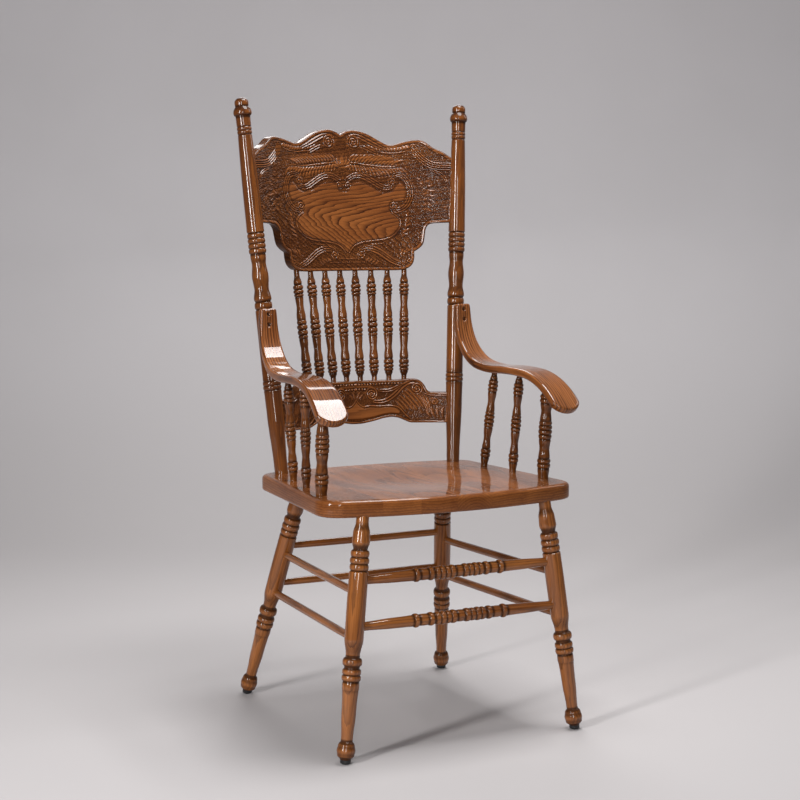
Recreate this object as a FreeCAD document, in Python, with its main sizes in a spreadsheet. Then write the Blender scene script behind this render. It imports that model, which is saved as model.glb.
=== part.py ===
import FreeCAD, Part
import math
import os

import Sketcher
from FreeCAD import Placement, Rotation, Vector

# A press-back oak armchair with a bowed back, turned legs and bent arms.
# The origin is on the floor under the middle of the chair; the front faces -Y and Z is up.

# Driving dimensions in millimetres and degrees. Places in front of the origin are negative.
SIZES = {
    # seat
    "seat_height": 455, "seat_thickness": 30, "seat_front": -264, "seat_back": 168,
    "seat_front_half": 258, "seat_back_half": 227, "seat_front_bow": 41, "seat_back_bow": 21,
    "seat_front_corner": 40, "seat_back_corner": 34, "seat_top_round": 8, "seat_under_round": 5,
    "dish_depth": 6, "dish_half": 160, "dish_middle": -55,
    # legs: their tops from the seat's side and from its front or back, and how far the feet spread
    "front_leg_in": 73.5, "front_leg_deep": 32.5, "front_leg_splay": 50.4, "front_leg_rake": -32.5,
    "rear_leg_in": 72.4, "rear_leg_deep": 59, "rear_leg_splay": 65.5, "rear_leg_rake": 128.7,
    "leg_socket_depth": 20, "leg_ball": 33, "leg_ball_height": 22, "leg_calf": 28.5,
    "leg_ring": 33.5, "leg_groove": 28, "leg_shaft": 34, "leg_vase": 32.5, "leg_top": 22.5,
    "leg_ring_pitch": 11.5,
    # glides
    "glide": 19, "glide_height": 8, "glide_round": 2.5, "glide_pin": 4, "glide_pin_length": 15,
    # stretchers
    "stretcher": 14.5, "stretcher_end": 13, "front_stretcher": 21, "front_stretcher_end": 15.5,
    "stretcher_collar": 25, "stretcher_short_of_axis": 3,
    # back posts: their feet from the seat's side and back, and how far their tips spread
    "post_in": 40.2, "post_deep": 41.4, "post_splay": 49, "post_rake": 70.3,
    "post_tip_height": 1170, "post_socket_depth": 22, "post_foot": 25.5, "post_shaft": 33.5,
    "post_ring": 35.5, "post_neck": 27, "post_waist": 27.5, "post_vase": 31.5, "post_collar": 35,
    "post_dome": 24, "post_ring_pitch": 11,
    # crest panel
    "crest_below_tip": 52, "crest_height": 280, "crest_in": 19.8, "crest_thickness": 20,
    "crest_bow_low": 63.3, "crest_bow_high": 77.7, "crest_tongue": 9, "crest_tongue_height": 100,
    # lower back rail
    "rail_above_seat": 79, "rail_height": 85, "rail_out": 13.2, "rail_thickness": 20, "rail_bow": 56,
    "rail_tongue": 9, "rail_tongue_height": 44, "tongue_length": 30,
    # back spindles
    "spindle_pitch_high": 33.7, "spindle_pitch_low": 30, "spindle_dowel": 10.5, "spindle_bead": 20.5,
    "spindle_waist": 14.5, "spindle_groove": 17.5, "spindle_bead_pitch": 8.4,
    "spindle_dowel_length": 9, "spindle_socket_depth": 14,
    # arms
    "arm_above_seat": 316.5, "arm_thickness": 15, "arm_back_width": 32.5,
    "arm_bend_width": 49, "arm_front_width": 61,
    "arm_lean_angle": 5.6, "arm_toe_out_angle": 4.2, "arm_heel": 26,
    "arm_bend": 102, "arm_bend_angle": 74.5, "arm_sweep": 293, "arm_sweep_angle": 13.4,
    "arm_crown": 670, "arm_crown_angle": 7.5, "arm_curl": 172, "arm_curl_angle": 37.8,
    "arm_tip": 30, "arm_tip_round": 22,
    "arm_edge_round": 4, "arm_inlet": 0.8,
    # arm spindles: their feet from the seat's side and front, how far their tops lean forward,
    # and how far inside the arm's middle line the tops lie
    "rear_spindle_in": 33.5, "rear_spindle_deep": 292.7, "rear_spindle_rake": 13.2,
    "rear_spindle_off": -1.2, "middle_spindle_in": 27.9, "middle_spindle_deep": 203.9,
    "middle_spindle_rake": 12.5, "middle_spindle_off": 1.4, "front_spindle_in": 23.9,
    "front_spindle_deep": 110.4, "front_spindle_rake": 12, "front_spindle_off": 3.1,
    "arm_spindle_foot": 13, "arm_spindle_bead": 19.5, "arm_spindle_groove": 16.5,
    "arm_spindle_waist": 13.5, "arm_spindle_bead_pitch": 7.6, "arm_spindle_dowel": 10.5,
    "arm_spindle_dowel_length": 12, "arm_support_foot": 20, "arm_support_bead": 25.5,
    "arm_support_groove": 21.5, "arm_support_waist": 19, "arm_support_bead_pitch": 8.6,
    "arm_support_dowel": 14, "arm_support_dowel_length": 16, "arm_foot_depth": 16,
    # arm screws
    "screw_head": 8, "screw_head_height": 3, "screw_sink": 3, "screw_shank": 4, "screw_length": 30,
    "screw_first": 11, "screw_pitch": 19.5,
    # fits: glue clearance round a tenon, room under its end, and the overrun of a cut
    "fit": 0.15, "end_room": 0.8, "overrun": 12,
}

# Heights of the stretchers as shares of the leg.
FRONT_UPPER_SHARE = 0.7405
FRONT_LOWER_SHARE = 0.5515
BACK_UPPER_SHARE = 0.7286
BACK_LOWER_SHARE = 0.5482
SIDE_UPPER_SHARE = 0.690
SIDE_LOWER_SHARE = 0.505

# The half outline of the crest as shares of its half width and of its height. Each entry is the
# end of a line, or the middle and the end of an arc, from the middle of the bottom edge round to
# the dip in the middle of the top edge.
CREST_SHARES = [
    [(0.519, 0.0)],
    [(0.621, 0.050), (0.642, 0.136)],
    [(0.724, 0.178), (0.741, 0.221)],
    [(0.752, 0.286)],
    [(0.767, 0.320), (0.815, 0.335)],
    [(1.09, 0.338)],
    [(1.09, 0.806)],
    [(0.984, 0.818)],
    [(0.925, 0.838), (0.873, 0.875)],
    [(0.838, 0.908), (0.801, 0.923)],
    [(0.727, 0.938), (0.583, 0.914)],
    [(0.481, 0.897), (0.380, 0.930)],
    [(0.278, 0.975), (0.176, 0.998)],
    [(0.074, 0.993), (0.0, 0.964)],
]

# The half outline of the lower rail, as shares of its half width and of its height.
RAIL_SHARES = [
    [(0.115, 0.014), (0.225, 0.066)],
    [(0.360, 0.132), (0.485, 0.066)],
    [(0.530, 0.008), (0.590, -0.010)],
    [(1.09, -0.010)],
    [(1.09, 0.700)],
    [(0.793, 0.700)],
    [(0.757, 0.708), (0.740, 0.755)],
    [(0.722, 0.860), (0.680, 0.975)],
    [(0.590, 1.035), (0.465, 1.0)],
    [(0.0, 1.0)],
]

doc = FreeCAD.newDocument("Armchair")
sheet = doc.addObject("Spreadsheet::Sheet", "Sizes")
subparts = []


class Size:
    """A length kept both as its formula in the sheet's words and as its present value."""

    def __init__(self, text, value):
        self.text = text
        self.value = value

    def join(self, sign, other, value):
        return Size(f"({self.text} {sign} {text_of(other)})", value)

    def __add__(self, other):
        return self.join("+", other, self.value + value_of(other))

    def __sub__(self, other):
        return self.join("-", other, self.value - value_of(other))

    def __mul__(self, other):
        return self.join("*", other, self.value * value_of(other))

    def __truediv__(self, other):
        return self.join("/", other, self.value / value_of(other))

    def __neg__(self):
        return self * -1


def text_of(item):
    return item.text if isinstance(item, Size) else f"({item})"


def value_of(item):
    return item.value if isinstance(item, Size) else item


def size(name):
    """The named size of the sheet."""
    return Size(f"Sizes.{name}", float(sheet.get(name)))


def fill_sheet():
    for row, (name, number) in enumerate(SIZES.items(), start=1):
        sheet.set(f"A{row}", name)
        sheet.set(f"B{row}", str(number))
        sheet.setAlias(f"B{row}", name)
    doc.recompute()


def point(x, y, z=0):
    """A point in space from three sizes or numbers."""
    return Vector(value_of(x), value_of(y), value_of(z))


def between(start, end, share):
    return start + (end - start) * share


def unit(start, end):
    """The direction from start to end, of length one."""
    return (end - start).normalize()


# Sketches and features


def new_body(label, placement=None):
    body = doc.addObject("PartDesign::Body", label)
    body.Label = label
    if placement is not None:
        body.Placement = placement
    subparts.append(body)
    return body


def new_sketch(body, name, role="XY_Plane", offset=None):
    sketch = body.newObject("Sketcher::SketchObject", name)
    plane = [item for item in body.Origin.OriginFeatures if item.Role == role][0]
    sketch.AttachmentSupport = [(plane, "")]
    sketch.MapMode = "FlatFace"
    if offset is not None:
        sketch.AttachmentOffset = offset
    return sketch


def add_piece(sketch, here, step):
    """Adds a line, or an arc through a middle point, and gives its number and its two end numbers."""
    first = point(*here)
    last = point(*step[-1])
    if len(step) == 2:
        number = sketch.addGeometry(Part.Arc(first, point(*step[0]), last), False)
    else:
        number = sketch.addGeometry(Part.LineSegment(first, last), False)
    near = sketch.getPoint(number, 1)
    far = sketch.getPoint(number, 2)
    if (near - first).Length < (far - first).Length:
        return number, 1, 2
    return number, 2, 1


def hold_point(rules, formulas, number, end, place):
    """Holds one point of the sketch at its two sizes."""
    for kind, length in zip(("DistanceX", "DistanceY"), place):
        if isinstance(length, Size):
            formulas.append((len(rules), length.text))
        rules.append(Sketcher.Constraint(kind, -1, 1, number, end, value_of(length)))


def draw(sketch, start, steps):
    """Draws a closed outline. A step is [end] for a line or [middle, end] for an arc."""
    rules = []
    formulas = []
    pieces = []
    here = start
    for step in steps:
        pieces.append(add_piece(sketch, here, step))
        here = step[-1]
    for place, (number, head, tail) in enumerate(pieces):
        following, next_head, _ = pieces[(place + 1) % len(pieces)]
        rules.append(Sketcher.Constraint("Coincident", number, tail, following, next_head))
        hold_point(rules, formulas, number, tail, steps[place][-1])
        if len(steps[place]) == 2:
            mark = sketch.addGeometry(Part.Point(point(*steps[place][0])), True)
            hold_point(rules, formulas, mark, 1, steps[place][0])
            rules.append(Sketcher.Constraint("PointOnObject", mark, 1, number))
    base = sketch.ConstraintCount
    sketch.addConstraint(rules)
    for place, text in formulas:
        sketch.setExpression(f"Constraints[{base + place}]", text)


def bind(feature, **sizes):
    """Binds properties of a feature to sizes."""
    for name, length in sizes.items():
        feature.setExpression(name, text_of(length))


def subtract_cylinder(body, name, start, direction, radius, height):
    """Bores a round hole in the body from a point in space along a direction."""
    hole = body.newObject("PartDesign::SubtractiveCylinder", name)
    bind(hole, Radius=radius, Height=height)
    spot = Placement(start, Rotation(Vector(0, 0, 1), direction))
    hole.Placement = body.Placement.inverse() * spot
    return hole


def socket(body, name, mouth, inward, tenon, depth):
    """A blind round socket: its mouth is at a point, and the tenon goes in along a direction."""
    over = size("overrun")
    radius = tenon / 2 + size("fit")
    start = mouth - inward * over.value
    return subtract_cylinder(body, name, start, inward, radius, depth + size("end_room") + over)


def box_feature(body, kind, name, spot, length, width, height):
    """A box centred on the X and Y axes of a placement and standing on it."""
    box = body.newObject(kind, name)
    bind(box, Length=length, Width=width, Height=height)
    corner = Placement(point(length / -2, width / -2), Rotation())
    box.Placement = body.Placement.inverse() * spot * corner
    return box


def fillet(body, base, name, chosen, radius):
    """Rounds the chosen edges of the last feature."""
    doc.recompute()
    names = [f"Edge{number}" for number, edge in enumerate(base.Shape.Edges, start=1) if chosen(edge)]
    rounded = body.newObject("PartDesign::Fillet", name)
    rounded.Base = (base, names)
    bind(rounded, Radius=radius)
    return rounded


def turned(label, start, end, bottom, top, outline):
    """A turned piece on the axis from start to end: an outline of (radius, height) steps, spun."""
    body = new_body(label, Placement(start, Rotation(Vector(0, 0, 1), end - start)))
    sketch = new_sketch(body, label + "_outline", "XZ_Plane")
    draw(sketch, (0, bottom), outline + [[(0, top)], [(0, bottom)]])
    spin = body.newObject("PartDesign::Revolution", label + "_turning")
    spin.Profile = sketch
    spin.ReferenceAxis = (sketch, ["V_Axis"])
    spin.Angle = 360
    sketch.Visibility = False
    return body


def rings(middle, count, pitch, ring, groove):
    """A group of turned rings with a groove at each side: steps of (radius, height)."""
    steps = []
    low = middle - pitch * (count / 2)
    for number in range(count):
        steps.append([(groove / 2, low + pitch * number)])
        steps.append([(ring / 2, low + pitch * (number + 0.5))])
    steps.append([(groove / 2, low + pitch * count)])
    return steps


def axis_length(label, start, end):
    """The length of a turned piece's axis, kept in the sheet's list of worked-out lengths."""
    row = worked_rows.setdefault(label, len(worked_rows) + 1)
    worked.set(f"A{row}", label)
    worked.set(f"B{row}", repr((end - start).Length))
    worked.setAlias(f"B{row}", label)
    return Size(f"Worked.{label}", (end - start).Length)


worked = doc.addObject("Spreadsheet::Sheet", "Worked")
worked_rows = {}
fill_sheet()

ZERO = Size("0", 0.0)
SEAT_UNDER = size("seat_height") - size("seat_thickness")
CREST_BOTTOM = size("post_tip_height") - size("crest_below_tip") - size("crest_height")
RAIL_BOTTOM = size("seat_height") + size("rail_above_seat")
ARM_TOP = size("seat_height") + size("arm_above_seat")


# Places that several pieces share


def leg_line(side, row):
    """The foot and the top of a leg's axis; row is front or rear, side is -1 for left and 1 for right."""
    if row == "front":
        across = size("seat_front_half") - size("front_leg_in")
        along = size("seat_front") + size("front_leg_deep")
    else:
        across = size("seat_back_half") - size("rear_leg_in")
        along = size("seat_back") - size("rear_leg_deep")
    foot_across = across + size(f"{row}_leg_splay")
    foot = point(foot_across * side, along + size(f"{row}_leg_rake"), 0)
    return foot, point(across * side, along, SEAT_UNDER)


def post_line(side):
    """The foot and the tip of a back post's axis."""
    across = size("seat_back_half") - size("post_in")
    along = size("seat_back") - size("post_deep")
    foot = point(across * side, along, size("seat_height"))
    tip_across = across + size("post_splay")
    tip = point(tip_across * side, along + size("post_rake"), size("post_tip_height"))
    return foot, tip


def crest_half():
    """Half the crest's width, which its outline is drawn to."""
    return size("seat_back_half") - size("post_in") + size("post_splay") - size("crest_in")


def rail_half():
    """Half the rail's width, which its outline is drawn to."""
    return size("seat_back_half") - size("post_in") + size("rail_out")


def seat_half_at(along):
    """Half the seat's width at a place between its front and its back corners."""
    front = size("seat_front") + size("seat_front_bow")
    back = size("seat_back") - size("seat_back_bow")
    share = (along - front) / (back - front)
    return size("seat_front_half") + (size("seat_back_half") - size("seat_front_half")) * share


def post_at(side, height):
    """The point of the post's axis at a height above the floor."""
    foot, tip = post_line(side)
    return between(foot, tip, (value_of(height) - foot.z) / (tip.z - foot.z))


class Bow:
    """The bowed sheet in the middle of a back panel's thickness, an arc between the posts' axes."""

    def __init__(self, height, sag):
        end = post_at(1, height)
        self.height = height
        self.half = end.x
        self.radius = (end.x**2 + sag**2) / (2 * sag)
        self.centre = end.y + sag - self.radius
        self.angle = math.degrees(math.asin(end.x / self.radius))

    def at(self, x):
        """The point of the arc at a distance from the middle of the chair."""
        return point(x, self.centre + math.sqrt(self.radius**2 - x**2), self.height)


def crest_bow(height):
    """The crest's bow at a height: it deepens evenly from the crest's bottom to its top."""
    low = size("crest_bow_low").value
    high = size("crest_bow_high").value
    share = (value_of(height) - CREST_BOTTOM.value) / size("crest_height").value
    return Bow(value_of(height), low + (high - low) * share)


def rail_bow(height):
    return Bow(value_of(height), size("rail_bow").value)


def stretcher_lines():
    """Each stretcher's two leg points, by name."""
    lines = {}
    for level, share in (("upper", FRONT_UPPER_SHARE), ("lower", FRONT_LOWER_SHARE)):
        lines[f"front_{level}_stretcher"] = [between(*leg_line(side, "front"), share) for side in (-1, 1)]
    for level, share in (("upper", BACK_UPPER_SHARE), ("lower", BACK_LOWER_SHARE)):
        lines[f"back_{level}_stretcher"] = [between(*leg_line(side, "rear"), share) for side in (-1, 1)]
    for side, word in ((-1, "left"), (1, "right")):
        for level, share in (("upper", SIDE_UPPER_SHARE), ("lower", SIDE_LOWER_SHARE)):
            ends = [between(*leg_line(side, row), share) for row in ("front", "rear")]
            lines[f"{word}_{level}_stretcher"] = ends
    return lines


def stretcher_end_size(name):
    """The diameter of a stretcher's end in its leg."""
    return size("front_stretcher_end") if name.startswith("front") else size("stretcher_end")


# The arm's bent path


def arm_steps():
    """The arm's path as straight lengths and bends: (radius or None, length or turn in degrees)."""
    return [
        (None, size("arm_heel").value),
        (size("arm_bend").value, -size("arm_bend_angle").value),
        (size("arm_sweep").value, -size("arm_sweep_angle").value),
        (size("arm_crown").value, size("arm_crown_angle").value),
        (size("arm_curl").value, size("arm_curl_angle").value),
        (None, size("arm_tip").value),
    ]


def arm_path():
    """The arm's middle line in its own side view: a list of (start, middle, end, heading at the end).

    The side view has Y forward as negative. The heading is in degrees below level, going forward.
    """
    heading = 90 - size("arm_lean_angle").value
    here = Vector(0, 0, 0)
    legs = []
    for radius, amount in arm_steps():
        if radius is None:
            end = here + level_direction(heading) * amount
            legs.append((here, None, end, heading))
        else:
            swing = -1 if amount < 0 else 1
            centre = here + level_direction(heading + 90 * swing) * radius
            middle = centre - level_direction(heading + 90 * swing + amount / 2) * radius
            end = centre - level_direction(heading + 90 * swing + amount) * radius
            heading = heading + amount
            legs.append((here, middle, end, heading))
        here = end
    return legs


def level_direction(heading):
    """The direction in the arm's side view that points forward and down by an angle."""
    angle = math.radians(heading)
    return Vector(0, -math.cos(angle), -math.sin(angle))


def arm_placement(side):
    """The arm's own frame: its origin is the middle of the strip's top end, in front of the post."""
    axis = post_at(side, ARM_TOP)
    turn = Rotation(Vector(0, 0, 1), size("arm_toe_out_angle").value * side)
    ahead = size("post_shaft") / 2 - size("arm_inlet") + size("arm_thickness") / 2
    return Placement(axis + turn.multVec(Vector(0, -1, 0)) * ahead.value, turn)


def arm_top_frame(side):
    """The frame of the arm's straight top end, leaning back with the post."""
    return arm_placement(side) * Placement(Vector(), Rotation(Vector(1, 0, 0), -size("arm_lean_angle").value))


def arm_middle_height(side, spot):
    """The height of the arm's middle line above a point of the floor plan."""
    frame = arm_placement(side)
    ahead = frame.inverse().multVec(Vector(spot.x, spot.y, frame.Base.z)).y
    for start, middle, end, _ in arm_path():
        if end.y <= ahead:
            curve = Part.Arc(start, middle, end) if middle else Part.LineSegment(start, end)
            touch = curve.toShape().distToShape(upright_through(ahead))[1][0][0]
            return frame.Base.z + touch.z
    return frame.Base.z + arm_path()[-1][2].z


def upright_through(ahead):
    """An upright line below the arm's top end, at a place along the arm."""
    return Part.LineSegment(Vector(0, ahead, 0), Vector(0, ahead, -size("seat_height").value)).toShape()


ARM_SPINDLES = ("rear", "middle", "front")


def arm_spindle_line(side, which):
    """The foot on the seat and the top, at the middle of the arm's thickness."""
    along = size("seat_front") + size(f"{which}_spindle_deep")
    across = seat_half_at(along) - size(f"{which}_spindle_in")
    foot = point(across * side, along, size("seat_height"))
    ahead = along - size(f"{which}_spindle_rake")
    frame = arm_placement(side)
    toe_out = math.tan(math.radians(size("arm_toe_out_angle").value)) * side
    middle = frame.Base.x + (frame.Base.y - ahead.value) * toe_out
    top = point(middle - size(f"{which}_spindle_off").value * side, ahead)
    top.z = arm_middle_height(side, top)
    return foot, top


# Pieces


def make_seat():
    """The solid seat: a bowed and tapered outline, rounded edges and a shallow dish."""
    body = new_body("seat", Placement(point(0, 0, SEAT_UNDER), Rotation()))
    sketch = new_sketch(body, "seat_outline")
    front = size("seat_front")
    back = size("seat_back")
    wide = size("seat_front_half")
    narrow = size("seat_back_half")
    front_corner_y = front + size("seat_front_bow")
    back_corner_y = back - size("seat_back_bow")
    start = (-wide, front_corner_y)
    steps = [
        [(ZERO, front), (wide, front_corner_y)],
        [(narrow, back_corner_y)],
        [(ZERO, back), (-narrow, back_corner_y)],
        [start],
    ]
    draw(sketch, start, steps)
    pad = body.newObject("PartDesign::Pad", "seat_board")
    pad.Profile = sketch
    bind(pad, Length=size("seat_thickness"))
    in_front = fillet(body, pad, "seat_front_corners", upright_in_front, size("seat_front_corner"))
    behind = fillet(body, in_front, "seat_back_corners", upright_behind, size("seat_back_corner"))
    over = fillet(body, behind, "seat_top_edge", in_the_top, size("seat_top_round"))
    fillet(body, over, "seat_under_edge", in_the_underside, size("seat_under_round"))
    dish_seat(body)
    for side, word in ((-1, "left"), (1, "right")):
        for row in ("front", "rear"):
            foot, top = leg_line(side, row)
            name = f"{row}_{word}_leg_socket"
            socket(body, name, top, unit(foot, top), size("leg_top"), size("leg_socket_depth"))
        foot, tip = post_line(side)
        name = f"{word}_post_socket"
        socket(body, name, foot, unit(tip, foot), size("post_foot"), size("post_socket_depth"))
        for which in ARM_SPINDLES:
            foot, top = arm_spindle_line(side, which)
            name = f"{word}_{which}_spindle_socket"
            socket(body, name, foot, unit(top, foot), arm_foot_size(which), size("arm_foot_depth"))


def is_upright(edge):
    """Whether an edge of the seat board runs from its underside to its top."""
    thick = size("seat_thickness").value
    along_the_side = edge.BoundBox.XLength + edge.BoundBox.YLength > thick / 100
    return edge.BoundBox.ZLength > thick / 2 and not along_the_side


def upright_in_front(edge):
    return is_upright(edge) and edge.BoundBox.YMax < 0


def upright_behind(edge):
    return is_upright(edge) and edge.BoundBox.YMin > 0 and len(edge.Vertexes) == 2


def in_the_top(edge):
    return edge.BoundBox.ZMin > size("seat_thickness").value / 2


def in_the_underside(edge):
    return edge.BoundBox.ZMax < size("seat_thickness").value / 4


def dish_seat(body):
    """Hollows the seat with the flat cap of a large ball."""
    deep = size("dish_depth")
    half = size("dish_half")
    radius = (half * half / deep + deep) / 2
    dish = body.newObject("PartDesign::SubtractiveSphere", "dish")
    bind(dish, Radius=radius)
    lift = size("seat_thickness") + radius - deep
    dish.Placement = Placement(point(0, size("dish_middle"), lift), Rotation())


def leg_outline(length):
    """The leg's turning, from the ball foot up to the tenon in the seat."""
    ball = size("leg_ball")
    up = size("leg_ball_height")
    calf = size("leg_calf") / 2
    shaft = size("leg_shaft") / 2
    pitch = size("leg_ring_pitch")
    low = length * 0.375
    high = length * 0.824
    steps = [[(ball * 0.14, up - ball * 0.48)]]
    steps += [[(ball * 0.5, up), (ball * 0.3, up + ball * 0.4)]]
    steps += [[(calf, low - pitch * 1.6)]]
    steps += rings(low, 3, pitch, size("leg_ring"), size("leg_groove"))
    steps += [[(shaft, length * 0.49)]]
    steps += [[(shaft, high - pitch * 1.9)]]
    steps += rings(high, 3, pitch, size("leg_ring"), size("leg_groove"))
    vase = size("leg_vase") / 2
    steps += [[(vase, length * 0.893), (vase * 0.9, length * 0.925)]]
    steps += [[(size("leg_top") / 2, length * 0.975)]]
    steps += [[(size("leg_top") / 2, length + size("leg_socket_depth"))]]
    return steps


def make_leg(side, row, word):
    """A turned leg: sockets for four stretchers and the glide's pin, its ball cut level."""
    label = f"{row}_{word}_leg"
    foot, top = leg_line(side, row)
    length = axis_length(label + "_length", foot, top)
    bottom = size("leg_ball_height") - size("leg_ball") * 0.48
    crown = length + size("leg_socket_depth")
    body = turned(label, foot, top, bottom, crown, leg_outline(length))
    glide_top = size("glide_height")
    seat_of_glide = glide_spot(side, row)
    over = size("overrun")
    low = Placement(Vector(seat_of_glide.x, seat_of_glide.y, -over.value), Rotation())
    wide = size("leg_ball") * 2
    box_feature(body, "PartDesign::SubtractiveBox", label + "_level", low, wide, wide, glide_top + over)
    pin = size("glide_pin")
    depth = size("glide_pin_length")
    socket(body, label + "_pin_hole", seat_of_glide, Vector(0, 0, 1), pin, depth)
    for name, ends in stretcher_lines().items():
        for near, far in (ends, ends[::-1]):
            if abs(near.distanceToLine(foot, top - foot)) < size("fit").value:
                stretcher_socket(body, f"{label}_{name}_socket", near, far, stretcher_end_size(name))


def stretcher_socket(body, name, near, far, tenon):
    """Bores a leg for a stretcher's end, from just short of the leg's axis outwards."""
    way = unit(near, far)
    short = size("stretcher_short_of_axis") - size("end_room")
    reach = size("leg_shaft") / 2 + size("overrun")
    subtract_cylinder(body, name, near + way * short.value, way, tenon / 2 + size("fit"), reach)


def glide_spot(side, row):
    """The middle of a glide's top face, on the leg's axis."""
    foot, top = leg_line(side, row)
    return between(foot, top, size("glide_height").value / top.z)


def make_glide(side, row, word):
    """A round plastic glide with a pin that is driven up into the leg."""
    label = f"{row}_{word}_glide"
    spot = glide_spot(side, row)
    radius = size("glide") / 2
    tall = size("glide_height")
    edge = size("glide_round")
    pin = size("glide_pin") / 2
    peak = tall + size("glide_pin_length")
    outline = [
        [(radius - edge, ZERO)],
        [(radius, edge)],
        [(radius, tall)],
        [(pin, tall)],
        [(pin, peak)],
    ]
    floor = Vector(spot.x, spot.y, 0)
    turned(label, floor, floor + Vector(0, 0, 1), ZERO, peak, outline)


def make_stretcher(name, ends):
    """A round stretcher, a little slimmer at its ends; the two front ones have turned collars."""
    way = unit(*ends)
    short = size("stretcher_short_of_axis").value
    start = ends[0] + way * short
    end = ends[1] - way * short
    length = axis_length(name + "_length", start, end)
    tip = stretcher_end_size(name) / 2
    if name.startswith("front"):
        outline = front_stretcher_outline(length, tip)
    else:
        full = size("stretcher") / 2
        outline = [[(tip, ZERO)], [(full, length * 0.25)], [(full, length * 0.75)], [(tip, length)]]
    turned(name, start, end, ZERO, length, outline)


def front_stretcher_outline(length, tip):
    """Tapered ends, a collar at each side and a swelling with three rings in the middle."""
    body = size("front_stretcher") / 2
    collar = size("stretcher_collar") / 2
    half = [(body, 0.270), (collar, 0.282), (body, 0.294), (body, 0.345), (collar, 0.357), (body, 0.369)]
    half += [(body, 0.400), (collar, 0.412), (body, 0.424), (body, 0.452), (collar, 0.466), (body, 0.480)]
    outline = [[(tip, ZERO)], [(tip, length * 0.06)]]
    outline += [[(radius, length * share)] for radius, share in half]
    outline += [[(radius, length * (1 - share))] for radius, share in half[::-1]]
    outline += [[(tip, length * 0.94)], [(tip, length)]]
    return outline


def post_outline(length):
    """The back post's turning, from its foot in the seat to the finial."""
    shaft = size("post_shaft") / 2
    pitch = size("post_ring_pitch")
    ring = size("post_ring")
    groove = size("post_waist")
    neck = size("post_neck") / 2
    waist = size("post_waist") / 2
    vase = size("post_vase") / 2
    foot = size("post_foot") / 2
    steps = [[(foot, -size("post_socket_depth"))], [(foot, ZERO)], [(shaft, length * 0.212)]]
    steps += rings(length * 0.2355, 2, pitch * 0.8, ring, size("post_vase"))
    steps += [[(shaft, length * 0.252)], [(shaft, length * 0.432)]]
    steps += rings(length * 0.4485, 1, pitch * 1.2, size("post_shaft"), groove)
    steps += [[(shaft, length * 0.465)]]
    steps += [[(waist, length * 0.486), (vase, length * 0.515)]]
    steps += [[(waist, length * 0.553), (vase, length * 0.578)]]
    steps += rings(length * 0.611, 4, pitch, size("post_shaft"), size("post_vase") * 0.94)
    steps += [[(shaft, length * 0.650)], [(neck, length * 0.895)]]
    steps += rings(length * 0.912, 2, pitch * 0.66, size("post_neck"), size("post_dome"))
    steps += [[(neck, length * 0.930)], [(neck * 1.04, length * 0.953)]]
    dome = size("post_dome") / 2
    steps += [[(size("post_collar") / 2, length * 0.9637)], [(dome * 1.05, length * 0.9735)]]
    steps += [[(dome * 0.95, length * 0.992), (dome * 0.36, length)]]
    return steps


def make_post(side, word):
    """A turned back post with mortises for the crest and the rail and a flat for the arm."""
    label = f"{word}_back_post"
    foot, tip = post_line(side)
    length = axis_length(label + "_length", foot, tip)
    bottom = -size("post_socket_depth")
    body = turned(label, foot, tip, bottom, length, post_outline(length))
    fit = size("fit")
    room = size("end_room")
    for name, (spot, thick, tall) in tongues(side).items():
        deeper = spot * Placement(point(room / 2 * side, 0, -fit), Rotation())
        long = size("tongue_length") + room
        kind = "PartDesign::SubtractiveBox"
        box_feature(body, kind, f"{label}_{name}_mortise", deeper, long, thick + fit * 2, tall + fit * 2)
    flat_for_arm(body, label, side)
    for number in (0, 1):
        head, way = screw_spot(side, number)
        socket(body, f"{label}_screw_hole_{number}", head, way, size("screw_shank"), size("screw_length"))


def flat_for_arm(body, label, side):
    """Cuts a shallow flat with a square shoulder in the post, where the arm's top end lies."""
    reach = size("post_shaft")
    down = size("arm_heel") + size("overrun") * 1.25
    behind = size("arm_thickness") / 2 - reach / 2
    spot = arm_top_frame(side) * Placement(point(0, behind, -down), Rotation())
    tall = down + size("fit")
    box_feature(body, "PartDesign::SubtractiveBox", label + "_arm_flat", spot, reach * 2, reach, tall)


def tongues(side):
    """The tongues of the crest and of the rail in one post: placement, thickness and height of each."""
    found = {}
    foot, tip = post_line(side)
    up = unit(foot, tip)
    levels = (("crest", CREST_BOTTOM + size("crest_height") * 0.57, crest_bow),
              ("rail", RAIL_BOTTOM + size("rail_height") * 0.345, rail_bow))
    for name, height, bow in levels:
        arc = bow(height)
        along = Rotation(Vector(0, 0, 1), -arc.angle * side).multVec(Vector(1, 0, 0))
        turn = Rotation(along, up.cross(along), up, "ZXY")
        middle = post_at(side, height)
        tall = size(f"{name}_tongue_height")
        low = middle - up * (tall.value / 2)
        inset = size("tongue_length").value / 2 - size("end_room").value
        spot = Placement(low - turn.multVec(Vector(1, 0, 0)) * inset * side, turn)
        found[name] = (spot, size(f"{name}_tongue"), tall)
    return found


def bowed_panel(label, bow_at, bottom, top, thickness):
    """A bowed board: a band between two arcs at its foot, drawn up to the band at its top."""
    body = new_body(label, Placement())
    sections = []
    for name, height in (("foot", bottom), ("head", top)):
        arc = bow_at(height)
        offset = Placement(point(0, 0, height), Rotation())
        sketch = new_sketch(body, f"{label}_{name}", "XY_Plane", offset)
        band(sketch, f"{label}_{name}", arc, thickness)
        sections.append(sketch)
    loft = body.newObject("PartDesign::AdditiveLoft", label + "_board")
    loft.Profile = sections[0]
    loft.Sections = [sections[1]]
    loft.Ruled = True
    return body


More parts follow.
